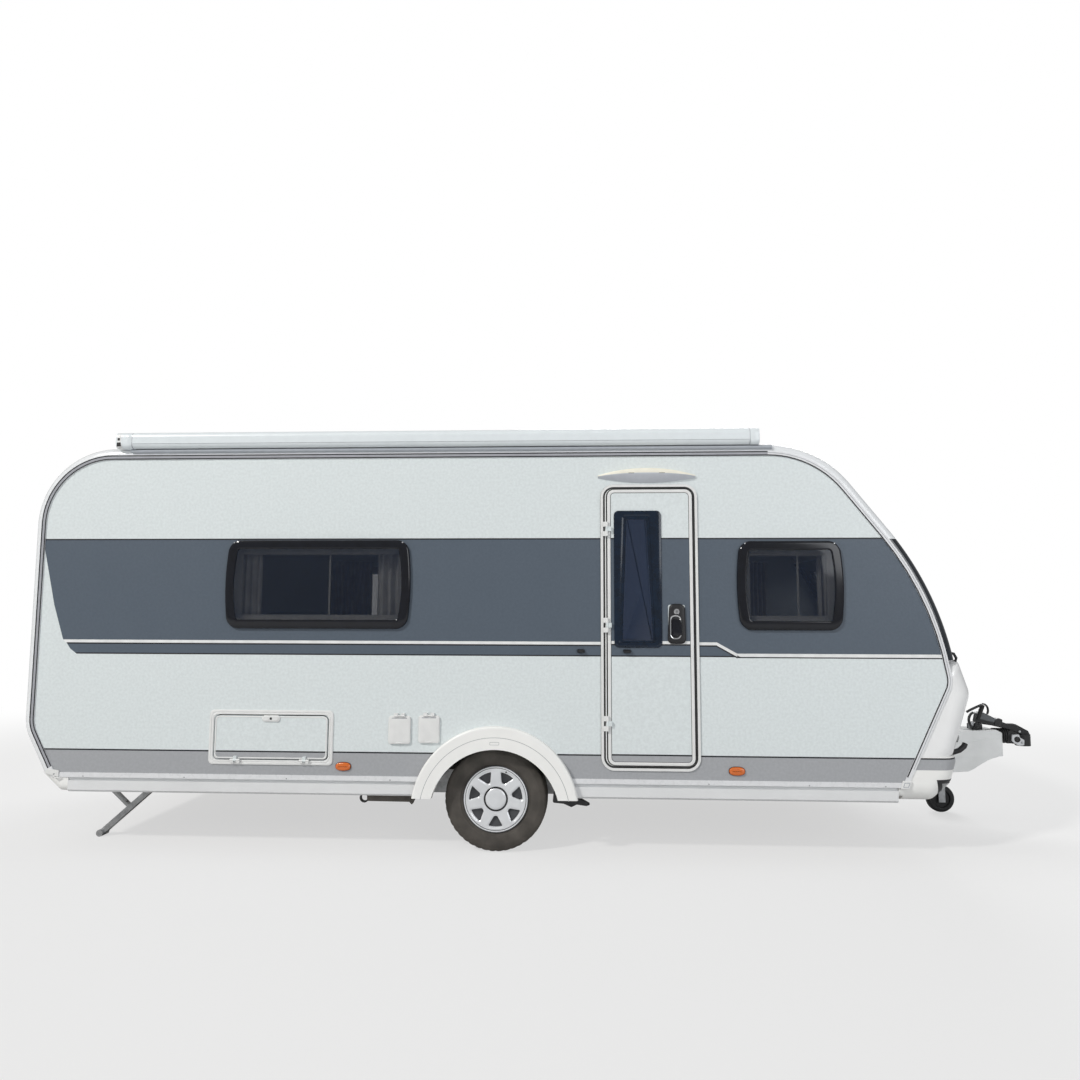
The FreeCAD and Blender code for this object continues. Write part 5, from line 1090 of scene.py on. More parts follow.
CAP_RING = [(0.0, 0.064), (0.003, 0.0645), (0.0038, 0.067), (0.0036, 0.0715), (0.002, 0.0745),
            (-0.004, 0.0755), (-0.010, 0.0755), (-0.010, 0.064)]
CAP_FACE = [(0.0075, 0), (0.0075, 0.030), (0.0070, 0.050), (0.0052, 0.060), (0.002, 0.0645), (-0.006, 0.0650)]


def tyre_profile():
    """(across, radius, kind) from the outer bead over the tread to the inner bead."""
    points = [(across, RIM_R + above, kind) for across, above, kind in SIDEWALL]
    points.append((-0.070, TYRE_R - 0.0022, 1))
    back = [(-across, radius, kind) for across, radius, kind in points[::-1]]
    for groove in GROOVES:
        crown = TYRE_R - 0.0004 - 0.4 * groove * groove
        points += [(groove - GROOVE_HALF, crown, 2), (groove - GROOVE_HALF * 0.7, crown - GROOVE_DEPTH, 0),
                   (groove + GROOVE_HALF * 0.7, crown - GROOVE_DEPTH, 0), (groove + GROOVE_HALF, crown, 2)]
        if groove == GROOVES[1]:
            points.append((0.0, TYRE_R, 2))
    return points + back


def tyre(name, side, body):
    """A tyre with blocks cut into its shoulders (kind 1) and its crown (kind 2)."""
    centre = at(0, side * (WHEEL_OUT - TYRE_HALF), WHEEL_Z)
    loops = []
    for order, (across, radius, kind) in enumerate(tyre_profile()):
        loop = []
        for step in range(TREAD_STEPS):
            lift = 0.0
            if kind == 1 and (step + (across > 0)) % 3 == 0:
                lift = -BLOCK_CUT
            if kind == 2 and (step + order) % 4 == 0:
                lift = -CROWN_CUT
            angle = 2 * math.pi * step / TREAD_STEPS
            loop.append(centre + Vector(((radius + lift) * math.cos(angle), across * -side,
                                         (radius + lift) * math.sin(angle))))
        loops.append(loop)
    return loft(name, loops, TYRE, closed=True, body=body, slot="tyre_rubber", smooth=28)


def window_half(radius):
    """Half the angle of a window at a radius, with rounded ends."""
    inside = min(max(radius, WINDOW_LOW), WINDOW_HIGH)
    share = (inside - WINDOW_LOW) / (WINDOW_HIGH - WINDOW_LOW)
    half = WINDOW_IN + (WINDOW_OUT - WINDOW_IN) * share
    near = min(inside - WINDOW_LOW, WINDOW_HIGH - inside) / WINDOW_TURN
    if near < 1:
        half -= WINDOW_TUCK * (1 - math.sqrt(max(0.0, 1 - (1 - near) ** 2)))
    return math.asin(half / inside)


def trim_depth(radius, share):
    """How far the trim lies in from the tyre's face. Share is 0 at a window and 1 on a spoke's crest."""
    dish = 0.0125 - 0.010 * min(1.0, max(0.0, (radius - 0.074) / 0.075))
    if radius > 0.186:
        dish = 0.0075 - 0.005 * math.sin((radius - 0.186) / 0.0165 * math.pi)
    if WINDOW_LOW - 0.006 < radius < WINDOW_HIGH + 0.006:
        dish += 0.0045 * (1 - min(1.0, share / 0.24))
    return dish


def trim_cells(radius):
    """(angle from the middle of a window, share of the spoke) across one sector."""
    half, spoke = window_half(radius), math.pi / SECTORS
    flank = [(spoke - (spoke - half) * (1 - part), part) for part in SPOKE_SHARES]
    window = [(-half / 2, 0.0), (0.0, 0.0), (half / 2, 0.0)]
    return [(-turn, part) for turn, part in flank[::-1]] + window + flank[:-1]


def wheel_trim(name, centre, side, body):
    trim = bmesh.new()
    grid = []
    for radius in TRIM_RADII:
        line = []
        for sector in range(SECTORS):
            for turn, share in trim_cells(radius):
                angle = 2 * math.pi * sector / SECTORS - math.pi / 2 + turn
                line.append(trim.verts.new(centre + Vector((
                    radius * math.cos(angle), -side * trim_depth(radius, share), radius * math.sin(angle)))))
        grid.append(line)
    count = len(grid[0])
    first_hole, last_hole = len(SPOKE_SHARES) - 1, len(SPOKE_SHARES) + 3
    for row, (inner_line, outer_line) in enumerate(zip(grid, grid[1:])):
        windowed = WINDOW_LOW - 1e-6 <= TRIM_RADII[row] and TRIM_RADII[row + 1] <= WINDOW_HIGH + 1e-6
        for column in range(count):
            if windowed and first_hole <= column % (count // SECTORS) < last_hole:
                continue
            after = (column + 1) % count
            trim.faces.new((inner_line[column], inner_line[after], outer_line[after], outer_line[column]))
    edges = [edge for edge in trim.edges if edge.is_boundary]
    walls = bmesh.ops.extrude_edge_only(trim, edges=edges)["geom"]
    bmesh.ops.translate(trim, verts=[item for item in walls if isinstance(item, bmesh.types.BMVert)],
                        vec=Vector((0, -side * TRIM_THICK, 0)))
    make(name, trim, ALLOY, body, "wheel_alloy", smooth=32)


for side, label in SIDES:
    body = "wheel_" + label
    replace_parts(tyre("tyre_tread_" + label, side, body), "tyre_" + label)
    centre = at(0, side * WHEEL_OUT, WHEEL_Z)
    wheel_trim("wheel_trim_" + label, centre, side, body)
    cap_centre = centre + Vector((0, -side * CAP_IN, 0))
    lathe("wheel_cap_ring_" + label, outward(CAP_RING, side), cap_centre, "y", STEEL_BLACK, 64, closed=True,
          body=body)
    lathe("wheel_cap_" + label, outward(CAP_FACE, side), cap_centre, "y", ALLOY, 64, body=body,
          slot="wheel_alloy")
    valve = centre + Vector((0.176 * math.cos(1.2), -side * 0.006, 0.176 * math.sin(1.2)))
    lathe("wheel_valve_" + label, outward([(0, 0.0052), (0.010, 0.0048), (0.014, 0.0036), (0.014, 0)], side),
          valve, "y", RUBBER, 14, body=body)

# Awning case: end caps, a seam along its front, and the strip it hangs on, whose grey is partly painted
# shadow of the case

AWNING_REAR, AWNING_FRONT = -2.485, 1.645
AWNING_LOW = 2.522
AWNING_OUT = HALF_WIDTH + 0.044
AWNING_DEEP, AWNING_TALL = 0.085, 0.108
AWNING_ROUND = 0.036
# (Y, Z) round the strip's section
ADAPTER_SECTION = [(-1.150, 2.496), (-1.161, 2.499), (-1.166, 2.506), (-1.166, 2.517), (-1.160, 2.5225),
                   (-1.120, 2.5225), (-1.120, 2.505)]


def awning_section(grow):
    """Section of the case in Y-Z, anticlockwise from its foot."""
    deep, tall = AWNING_DEEP + 2 * grow, AWNING_TALL + grow
    corners = [(0, 0, 0.030 + grow), (deep, 0, 0.02), (deep, tall, 0.030), (0, tall, AWNING_ROUND + grow)]
    outline = rounded(corners, 7)
    return [(-(AWNING_OUT + grow) + offset.x, AWNING_LOW - grow + offset.y) for offset in outline]


def awning_slice(name, low_x, high_x, grow, material, round_end=0.0):
    stations = [(low_x, grow), (high_x, grow)]
    if round_end:
        stations = [(low_x, grow - round_end), (low_x + round_end * 1.5, grow),
                    (high_x - round_end * 1.5, grow), (high_x, grow - round_end)]
    loops = [[at(x, y, z) for y, z in awning_section(size)] for x, size in stations]
    loft(name, loops, material, slot="case_grey")


awning_slice("awning_cap_front", AWNING_FRONT - 0.058, AWNING_FRONT, 0.0004, CASE, 0.0035)
awning_slice("awning_cap_seam", AWNING_FRONT - 0.0605, AWNING_FRONT - 0.058, 0.0008, RAIL_INSERT)
awning_slice("awning_cap_rear", AWNING_REAR + 0.045, AWNING_REAR + 0.105, 0.0004, CASE, 0.0035)
awning_slice("awning_cap_rear_seam", AWNING_REAR + 0.105, AWNING_REAR + 0.1075, 0.0008, RAIL_INSERT)
awning_slice("awning_arm_cap", AWNING_REAR, AWNING_REAR + 0.043, 0.0003, PLASTIC, 0.006)
block("awning_arm_joint", (AWNING_REAR + 0.006, -(AWNING_OUT + 0.0012), AWNING_LOW + 0.014),
      (AWNING_REAR + 0.034, -(AWNING_OUT - 0.006), AWNING_LOW + 0.040), BLACK, 0.003)
block("awning_arm_pin", (AWNING_REAR + 0.009, -(AWNING_OUT + 0.0012), AWNING_LOW + 0.050),
      (AWNING_REAR + 0.028, -(AWNING_OUT - 0.006), AWNING_LOW + 0.070), STEEL_BLACK, 0.004)
block("awning_lead_rail", (AWNING_REAR + 0.11, -(AWNING_OUT + 0.0008), AWNING_LOW + 0.0285),
      (AWNING_FRONT - 0.064, -(AWNING_OUT - 0.004), AWNING_LOW + 0.0305), RAIL_INSERT, 0.0004)
loft("awning_adapter", [[at(x, y, z) for y, z in ADAPTER_SECTION] for x in (AWNING_REAR + 0.09, 1.725)],
     ADAPTER_GREY_AND_SHADOW, slot="alu_trim")
block("awning_drip", (AWNING_REAR + 0.12, -1.1675, 2.5195), (1.64, -1.158, 2.5222), LINE_BLACK, 0.0004)

# Roof light and vent: white seats round their bases

# Middle X and half the width of each
ROOF_LIGHTS = ((1.150, 0.350), (-1.750, 0.230))
SEAT_LOW, SEAT_HIGH = 2.5352, 2.556
SEAT_STEPS = ((0.018, SEAT_LOW), (0.020, SEAT_LOW + 0.006), (0.014, SEAT_HIGH), (-0.030, SEAT_HIGH),
              (-0.034, SEAT_LOW))
for name, (x, half) in zip(("roof_light", "roof_vent"), ROOF_LIGHTS):
    loops = [[at(x + point.x, point.y, height) for point in framed((-half, -half, half, half), -grow, 0.06)]
             for grow, height in SEAT_STEPS]
    loft(name + "_seat", loops, PLASTIC, closed=True, slot="white_plastic")

# Films that wrap round the curved ends


def wrap_patch(name, node, planes, keep, lift, material, slot=None):
    """A film over the faces of a node that keep() picks, cut by planes (point, outward normal)."""
    mesh = film_of(node, keep, planes)
    bmesh.ops.triangulate(mesh, faces=mesh.faces[:])
    mesh.normal_update()
    shifts = {tuple(round(part, 6) for part in vert.co): vert.normal.copy() for vert in mesh.verts}
    for vert in thickened(mesh):
        vert.co += shifts[tuple(round(part, 6) for part in vert.co)] * lift
    return make(name, mesh, material, slot=slot, smooth=40.0)


def level(low, high):
    return [((0, 0, low), (0, 0, -1)), ((0, 0, high), (0, 0, 1))]


def nose_outside(centre, normal):
    out = Vector((centre.x - 1.9, centre.y * 0.6, 0)).normalized()
    return centre.x > 2.0 and normal.dot(out) > 0.25 and (abs(centre.y) > 1.1 or centre.x > 2.25)


for name, node, foot in (("nose_grey", "nose_shell", 0.50), ("bumper_grey", "bumpers", 0.535)):
    wrap_patch(name, node, level(foot, GREY_TOP - LINE), nose_outside, FILM, BAND_GREY)
    wrap_patch(name + "_line", node, level(GREY_TOP - LINE, GREY_TOP), nose_outside, FILM, LINE_BLACK)

# Fog lamps let into the corners of the bumper

FOG_LOW, FOG_HIGH, FOG_Z = AXLE_X + 2.665, AXLE_X + 2.79, 0.43


def fog_planes(low, high, rear, front):
    ends = [((FOG_LOW + rear, 0, FOG_Z), (-1, 0, -0.25)), ((FOG_HIGH - front, 0, FOG_Z), (1, 0, 0.1))]
    return level(low, high) + ends


for side, label in SIDES:
    def on_corner(centre, normal, side=side):
        return centre.x > 2.1 and centre.y * side > 0.98 and (normal.y * side > 0.05 or normal.x > 0.3)

    wrap_patch("fog_recess_" + label, "bumpers", fog_planes(0.385, 0.478, 0, 0), on_corner, 0.0012, BLACK,
               "black_plastic")
    wrap_patch("fog_lens_" + label, "bumpers", fog_planes(0.395, 0.455, 0.030, 0.012), on_corner, 0.0030,
               REFLECTOR, "lamp_lens")

# Front position lamps on black arms, and grab handles at the foot of the front window

LAMP_ARM = ((2.775, 0.985, 0.612), (2.815, 0.992, 0.616), (2.860, 0.996, 0.632), (2.890, 0.994, 0.655),
            (2.900, 0.990, 0.672))
GRAB = ((2.800, 1.075, 1.176), (2.824, 1.080, 1.180), (2.830, 1.080, 1.200), (2.816, 1.080, 1.226),
        (2.790, 1.078, 1.232))
for side, label in SIDES:
    lamp_centre = at(2.832, side * 0.975, 0.705)
    tube("front_lamp_arm_" + label, mirrored(LAMP_ARM, side), 0.0165, BLACK, 14, slot="black_plastic")
    lathe("front_lamp_" + label, [(0.0, 0.031), (0.012, 0.0315), (0.024, 0.029), (0.031, 0.020), (0.034, 0)],
          lamp_centre, "x", REFLECTOR, 32, slot="lamp_lens")
    lathe("front_lamp_seat_" + label, [
        (-0.012, 0.026), (-0.010, 0.0355), (0.004, 0.0365), (0.006, 0.0325), (0.006, 0.0)], lamp_centre, "x",
        BLACK, 32, slot="black_plastic")
    tube("grab_" + label, mirrored(GRAB, side), 0.0085, BLACK, 12, slot="black_plastic")
    low_y, high_y = on_side(side, 1.060, 1.095)
    block("grab_foot_" + label, (2.768, low_y, 1.168), (2.806, high_y, 1.190), CHROME, 0.004)

# Ends of the rails: moulded brackets and hooks, and screws along the sill

BRACKET_STEPS = [(0, 0), (0, 0.0085), (0.002, 0.0105), (0.005, 0.011)]
FRONT_BRACKET = even([(2.436, 0.424), (2.486, 0.424), (2.508, 0.472), (2.452, 0.472)], 0.006)
FRONT_OPENING = even([(2.449, 0.433), (2.480, 0.433), (2.494, 0.462), (2.459, 0.462)], 0.003)
REAR_BRACKET = even([(-2.846, 0.452), (-2.756, 0.428), (-2.756, 0.470), (-2.832, 0.482)], 0.006)
BRACKET_SCREW = [(0, 0.0055), (0.0012, 0.0052), (0.002, 0.003), (0.0022, 0)]
SILL_SCREW = [(0, 0.0042), (0.001, 0.004), (0.0016, 0.002), (0.0016, 0)]
# Screws by number. The two numbers that are left out would fall at the wheel arch
SILL_SCREWS = {0: -2.60, 1: -1.95, 2: -1.30, 3: -0.65, 6: 1.30, 7: 1.90, 8: 2.35}
HOOK = ((-2.790, RAIL_FACE + 0.004, 0.436), (-2.768, RAIL_FACE + 0.010, 0.424),
        (-2.742, RAIL_FACE + 0.004, 0.430))


def rail_bracket(name, outline, side):
    formed(name, outline, BRACKET_STEPS, PLASTIC, side, RAIL_FACE - 0.004, slot="white_plastic")


for side, label in SIDES:
    rail_bracket("bracket_front_" + label, FRONT_BRACKET, side)
    # A grey ring paints the shade inside the bracket's opening
    formed("bracket_front_window_" + label, FRONT_OPENING, [
        (0, 0.0050), (0, 0.0082), (0.0034, 0.0082), (0.0034, 0.0050)], CLIP_PAINTED_SHADE, side, RAIL_FACE,
        closed=True)
    rail_bracket("bracket_rear_" + label, REAR_BRACKET, side)
    lathe("bracket_rear_%s_screw" % label, outward(BRACKET_SCREW, side),
          at(-2.785, side * (RAIL_FACE + 0.007), 0.450), "y", ZINC, 16)
    tube("rail_hook_" + label, mirrored(HOOK, side), 0.004, PLASTIC)
for side, label in SIDES:
    for index, x in SILL_SCREWS.items():
        lathe("sill_screw_%s_%d" % (label, index), outward(SILL_SCREW, side), at(x, side * RAIL_FACE, 0.4375),
              "y", ZINC, 12)

# Hitch: cover flange and cheeks, handle, side plates, lever grip and strap

COVER_REAR, COVER_FRONT = (2.815, 0.260), (3.586, 0.074)
FLANGE_SECTION = ((-0.002, -0.008), (0.003, -0.007), (0.0045, 0.0), (0.003, 0.007), (-0.002, 0.008))
FLANGE_STEPS = 8
# (X, foot) along the cheek
CHEEK_STATIONS = ((2.842, 0.352), (3.00, 0.352), (3.15, 0.353), (3.302, 0.356), (3.345, 0.372),
                  (3.400, 0.402), (3.470, 0.434), (3.560, 0.4565))
CHEEK_TOP = 0.459
HEAD_PLATE = rounded([
    (3.653, 0.560, 0.008), (3.700, 0.530, 0.008), (3.738, 0.532, 0.010), (3.742, 0.570, 0.010),
    (3.712, 0.588, 0.010), (3.704, 0.610, 0.006), (3.655, 0.606, 0.008)])
HEAD_PAD = [(0, 0.021), (0.005, 0.020), (0.007, 0.015), (0.004, 0.012), (0.004, 0)]
HEAD_BOLT = [(0, 0.008), (0.005, 0.0075), (0.006, 0.005), (0.006, 0)]
HEAD_SIDE = 0.056


def cover_half(x):
    """Half the width of the drawbar cover."""
    (rear_x, rear_half), (front_x, front_half) = COVER_REAR, COVER_FRONT
    return rear_half + (front_half - rear_half) * (x - rear_x) / (front_x - rear_x)


for side, label in SIDES:
    loops = []
    for step in range(FLANGE_STEPS + 1):
        x = 2.86 + (3.555 - 2.86) * step / FLANGE_STEPS
        z = 0.548 + 0.030 * step / FLANGE_STEPS
        loops.append([at(x, side * (cover_half(x) + out), z + up) for out, up in FLANGE_SECTION])
    loft("cover_flange_" + label, loops, COVER_WHITE, slot="white_plastic")
    loops = []
    for x, low in CHEEK_STATIONS:
        line = cover_half(x) - 0.010
        loops.append([at(x, side * (line + out), z) for out, z in (
            (-0.004, low), (0.003, low + 0.004), (0.003, CHEEK_TOP), (-0.004, CHEEK_TOP))])
    loft("drawbar_cheek_" + label, loops, COVER_WHITE, slot="white_plastic")
    plate("head_plate_" + label, HEAD_PLATE, on_side(side, 0.0325, HEAD_SIDE), ALLOY, 0.003,
          slot="wheel_alloy")
    lathe("head_pad_" + label, outward(HEAD_PAD, side), at(3.690, side * HEAD_SIDE, 0.574), "y", STEEL_BLACK,
          28)
    lathe("head_bolt_" + label, outward(HEAD_BOLT, side), at(3.722, side * HEAD_SIDE, 0.552), "y", ZINC, 6)

plate("hitch_handle", rounded([
    (3.412, 0.690, 0.012), (3.470, 0.676, 0.02), (3.560, 0.664, 0.03), (3.660, 0.636, 0.03),
    (3.745, 0.598, 0.02), (3.765, 0.536, 0.010), (3.792, 0.540, 0.012), (3.805, 0.585, 0.020),
    (3.786, 0.628, 0.024),
    (3.744, 0.654, 0.03), (3.640, 0.682, 0.03), (3.560, 0.712, 0.02), (3.472, 0.756, 0.014),
    (3.428, 0.760, 0.012)]), (-0.026, 0.026), BLACK, 0.007, slot="black_plastic", steps=3)
plate("hitch_handle_top", rounded([
    (3.432, 0.716, 0.010), (3.552, 0.688, 0.01), (3.606, 0.676, 0.008), (3.606, 0.702, 0.008),
    (3.560, 0.718, 0.012), (3.474, 0.762, 0.010), (3.430, 0.764, 0.010)]), (-0.029, 0.029), HANDLE_GREY,
    0.005, steps=3)
plate("hitch_latch", rounded([
    (3.545, 0.664, 0.006), (3.600, 0.652, 0.006), (3.606, 0.712, 0.008), (3.580, 0.722, 0.008),
    (3.548, 0.706, 0.006)]), (-0.031, 0.031), STEEL_BLACK, 0.004, steps=3)
lathe("hitch_pin", [(-0.034, 0), (-0.034, 0.008), (0.034, 0.008), (0.034, 0)], at(3.722, 0, 0.628), "y", ZINC,
      20)

LEVER_Y = -0.066
LEVER_ROOT = Vector((3.340, 0.542))
LEVER_LEAN = math.radians(22)
LEVER_RUN = Vector((math.sin(LEVER_LEAN), math.cos(LEVER_LEAN)))


def on_lever(*distances):
    """Points along the handbrake lever."""
    spots = [LEVER_ROOT + LEVER_RUN * distance for distance in distances]
    return [at(spot.x, LEVER_Y, spot.y) for spot in spots]


tube("lever_grip", on_lever(0.185, 0.195, 0.230, 0.265, 0.292, 0.299), 0.0145, RUBBER, 16,
     slot="black_plastic")
for index in range(5):
    tube("lever_ridge_%d" % index, on_lever(0.200 + 0.018 * index, 0.207 + 0.018 * index), 0.0158, RUBBER, 16)
tube("lever_strut", [at(3.330, LEVER_Y - 0.012, 0.770), at(3.352, LEVER_Y - 0.012, 0.783),
                     at(3.400, LEVER_Y - 0.012, 0.806), at(3.440, LEVER_Y - 0.008, 0.822)], 0.009,
                     STEEL_BLACK, 12)


def strap(name, centre, radius_x, radius_z, start, end, y, width, thick, count=16):
    """A flat strap bent along an arc in the X-Z plane, between two angles in degrees."""
    points = []
    for step in range(count + 1):
        angle = math.radians(start + (end - start) * step / count)
        points.append(Vector((centre[0] + radius_x * math.cos(angle),
                              centre[1] + radius_z * math.sin(angle))))
    loops = []
    for index, point in enumerate(points):
        run = (points[min(index + 1, count)] - points[max(index - 1, 0)]).normalized()
        out = Vector((-run.y, run.x)) * thick / 2
        loops.append([at(point.x + out.x * sign, y + across * width / 2, point.y + out.y * sign)
                      for sign, across in ((-1, -1), (1, -1), (1, 1), (-1, 1))])
    loft(name, loops, RUBBER, slot="black_plastic", smooth=60)


strap("lever_strap", (3.448, 0.785), 0.034, 0.044, 95, -40, LEVER_Y - 0.012, 0.014, 0.010)
strap("lever_loop", (3.392, 0.712), 0.052, 0.060, 110, 292, LEVER_Y - 0.018, 0.016, 0.013)
block("lever_base", (3.372, -0.052, 0.636), (3.452, 0.030, 0.682), STEEL_BLACK, 0.008)
block("lever_ratchet", (3.352, -0.060, 0.650), (3.392, -0.040, 0.700), ZINC, 0.006)
FOLD = ((0, 0.043), (0.0035, 0.0515), (0.0080, 0.0525), (0.0115, 0.0515), (0.0150, 0.043))
lathe("bellows_folds", [(0.0152 * index + along, radius) for index in range(7) for along, radius in FOLD],
      at(3.536, 0, 0.597), "x", RUBBER, 40, slot="black_plastic")

# Jockey wheel: clamp handle with its knob, and a collar on the sleeve

tube("clamp_handle", [at(3.230, 0.158, 0.440), at(3.230, 0.138, 0.428), at(3.255, 0.120, 0.405),
                      at(3.262, 0.118, 0.385)], 0.0065, ZINC)
lathe("clamp_knob", [(0, 0), (0, 0.010), (0.012, 0.014), (0.030, 0.013), (0.036, 0.007), (0.036, 0)],
      at(3.2605, 0.118, 0.350), "z", BLACK, 20)
lathe("sleeve_collar", [(0, 0.0302), (0, 0.034), (0.018, 0.034), (0.020, 0.0302)], at(3.230, 0.205, 0.684),
      "z", BLACK, 32, closed=True)

# Arch covers: grey films of painted shade, for the step near the opening and a moulded mark over the wheel

ARCH_FACE = HALF_WIDTH + 0.052
ARCH_Z = 0.246
ARCH_STEPS = 48
ARCH_SECTION = ((0.4585, -0.003), (0.4585, 0.0002), (0.4620, 0.0002), (0.4620, -0.003))
for side, label in SIDES:
    loops = []
    for step in range(ARCH_STEPS + 1):
        angle = math.radians(11 + 158 * step / ARCH_STEPS)
        across, up = math.cos(angle), math.sin(angle)
        loops.append([at(radius * across, side * (ARCH_FACE + lift), ARCH_Z + radius * up)
                      for radius, lift in ARCH_SECTION])
    loft("arch_step_painted_shade_" + label, loops, ARCH_PAINTED_SHADE, slot="white_plastic", smooth=50)
    formed("arch_mark_painted_shade_" + label, panel(-0.030, 0.662, 0.028, 0.680, 0.003), [
        (0, -0.003), (0, 0.0003), (0.0024, 0.0003), (0.0024, -0.003)], ARCH_PAINTED_SHADE, side, ARCH_FACE,
        closed=True, slot="white_plastic")

# Under the sill: outriggers with a jacking point ahead of the wheel and a tray behind it

JACK_POINT = rounded([
    (0.352, 0.300, 0.010), (0.420, 0.294, 0.010), (0.468, 0.274, 0.010), (0.500, 0.290, 0.010),
    (0.560, 0.282, 0.010), (0.590, 0.292, 0.006), (0.560, 0.308, 0.008), (0.520, 0.330, 0.010),
    (0.500, 0.370, 0.010), (0.358, 0.370, 0.006)])
TRAY_EDGE = rounded([
    (-0.812, 0.292, 0.006), (-0.545, 0.290, 0.006), (-0.528, 0.272, 0.004), (-0.518, 0.292, 0.004),
    (-0.500, 0.330, 0.006), (-0.500, 0.380, 0.006), (-0.812, 0.380, 0.006)])
TRAY_EYE = [(0.0, 0.030), (0.0, 0.020), (0.022, 0.020), (0.022, 0.030)]
for side, label in SIDES:
    low_y, high_y = on_side(side, 0.605, 1.070)
    block("jack_outrigger_" + label, (0.400, low_y, 0.330), (0.450, high_y, 0.370), STEEL_BLACK, 0.004)
    plate("jack_point_" + label, JACK_POINT, on_side(side, 1.050, 1.085), STEEL_BLACK, 0.004,
          slot="black_steel")
    low_y, high_y = on_side(side, 0.605, 1.050)
    block("tray_outrigger_" + label, (-0.700, low_y, 0.340), (-0.650, high_y, 0.380), STEEL_BLACK, 0.004)
    plate("tray_" + label, TRAY_EDGE, on_side(side, 1.030, 1.075), TRAY, 0.004, slot="black_steel")
    lathe("tray_eye_" + label, outward(TRAY_EYE, side), at(-0.832, side * 1.040, 0.310), "y", STEEL_BLACK, 28,
          closed=True)

# Ends: details that sit on curved walls


class Surface:
    """Finds the outer face of a node along the X axis."""

    def __init__(self, node, side):
        data = nodes[node].data
        self.tree = BVHTree.FromPolygons([vertex.co for vertex in data.vertices],
                                         [list(polygon.vertices) for polygon in data.polygons])
        self.side = side

    def x(self, y, z):
        hit = self.tree.ray_cast(Vector((self.side * 20.0, y, z)), Vector((-self.side, 0, 0)))[0]
        return (hit.x if hit else 0.0) - AXLE_X


def end_form(name, outline, steps, face_x, material, closed=False, **looks):
    """A rounded form on the rear: (inset, height) loops of an outline in the Y-Z plane."""
    loops = [[at(face_x - depth, point.x, point.y) for point in points]
             for points, depth in shells(outline, steps)]
    return loft(name, loops, material, closed, **looks)


def pane_rim(label, out, half, low, high, wide):
    """A black printed border on an end pane."""
    def outside(centre, normal):
        return centre.x * out > 0 and normal.x * out > 0.3

    inner, foot, head = half - wide, low + wide, high - wide
    middle = [((0, inner, 0), (0, 1, 0)), ((0, -inner, 0), (0, -1, 0))]
    strips = (("left", [((0, inner, 0), (0, -1, 0))]), ("right", [((0, -inner, 0), (0, 1, 0))]),
              ("head", level(head, 9.0) + middle), ("foot", level(0.0, foot) + middle))
    for name, planes in strips:
        wrap_patch("%s_pane_rim_%s" % (label, name), "windows_ends", planes, outside, 0.0012, BLACK_GLOSS,
                   "acrylic")


pane_rim("front", 1, 0.960, 1.285, 1.885, 0.055)
pane_rim("rear", -1, 0.640, 1.370, 1.860, 0.055)

rear_wall = Surface("rear_panel", -1)
lamp_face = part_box("tail_lamps")[0][0] - AXLE_X
LAMP_PROUD = 0.022
LAMP_Y = (0.905, 1.045)
LAMP_BASE = [(0, 0), (0, 0.0095), (0.003, 0.0130), (0.008, 0.0145), (0.012, 0.0135)]
LAMP_LENS = [(0, 0.0125), (0, 0.0165), (0.003, 0.0195), (0.008, 0.0213), (0.016, LAMP_PROUD)]
LENSES = (("stop", 0.912, 1.046, RED), ("turn", 0.834, 0.904, AMBER), ("reverse", 0.786, 0.826, REFLECTOR),
          ("reflector", 0.714, 0.778, RED))
HANDLE_Y = 0.800
# (Z, share of the reach) along the manoeuvring handle inboard of the lamp
HANDLE_POINTS = ((0.700, 0.0), (0.704, 0.6), (0.716, 0.95), (0.735, 1.0), (0.865, 1.0), (0.884, 0.95),
                 (0.896, 0.6), (0.900, 0.0))
HANDLE_FOOT = [(0.004, 0.019), (-0.004, 0.019), (-0.007, 0.015), (-0.008, 0.0)]
lamp_base = lamp_face + LAMP_PROUD
for side, label in SIDES:
    low_y, high_y = on_side(side, *LAMP_Y)
    seat = end_form("tail_lamp_base_" + label, panel(low_y, 0.700, high_y, 1.060, 0.04), LAMP_BASE, lamp_base,
                    PLASTIC, slot="white_plastic")
    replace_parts(seat, "tail_lamps")
    for part, low, high, material in LENSES:
        outline = panel(low_y + 0.013, low, high_y - 0.013, high, 0.018)
        lens_piece = end_form("tail_%s_%s" % (part, label), outline, LAMP_LENS, lamp_base, material,
                              slot="lamp_lens")
        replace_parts(lens_piece, "tail_lamps")
    handle_y = side * HANDLE_Y
    points = []
    for z, share in HANDLE_POINTS:
        wall_x = rear_wall.x(handle_y, z)
        outer = max(wall_x - 0.034, lamp_face + 0.0095)
        points.append(at(wall_x + 0.004 + (outer - wall_x - 0.004) * share, handle_y, z))
    tube("rear_handle_" + label, points, 0.009, BLACK, 14, slot="black_plastic")
    for z in (HANDLE_POINTS[0][0], HANDLE_POINTS[-1][0]):
        lathe("rear_handle_foot_%s_%d" % (label, z * 10), HANDLE_FOOT,
              at(rear_wall.x(handle_y, z), handle_y, z), "x", BLACK, 28, slot="black_plastic")

# Rear: blank number plate with its frame and lamps, and the high brake lamp

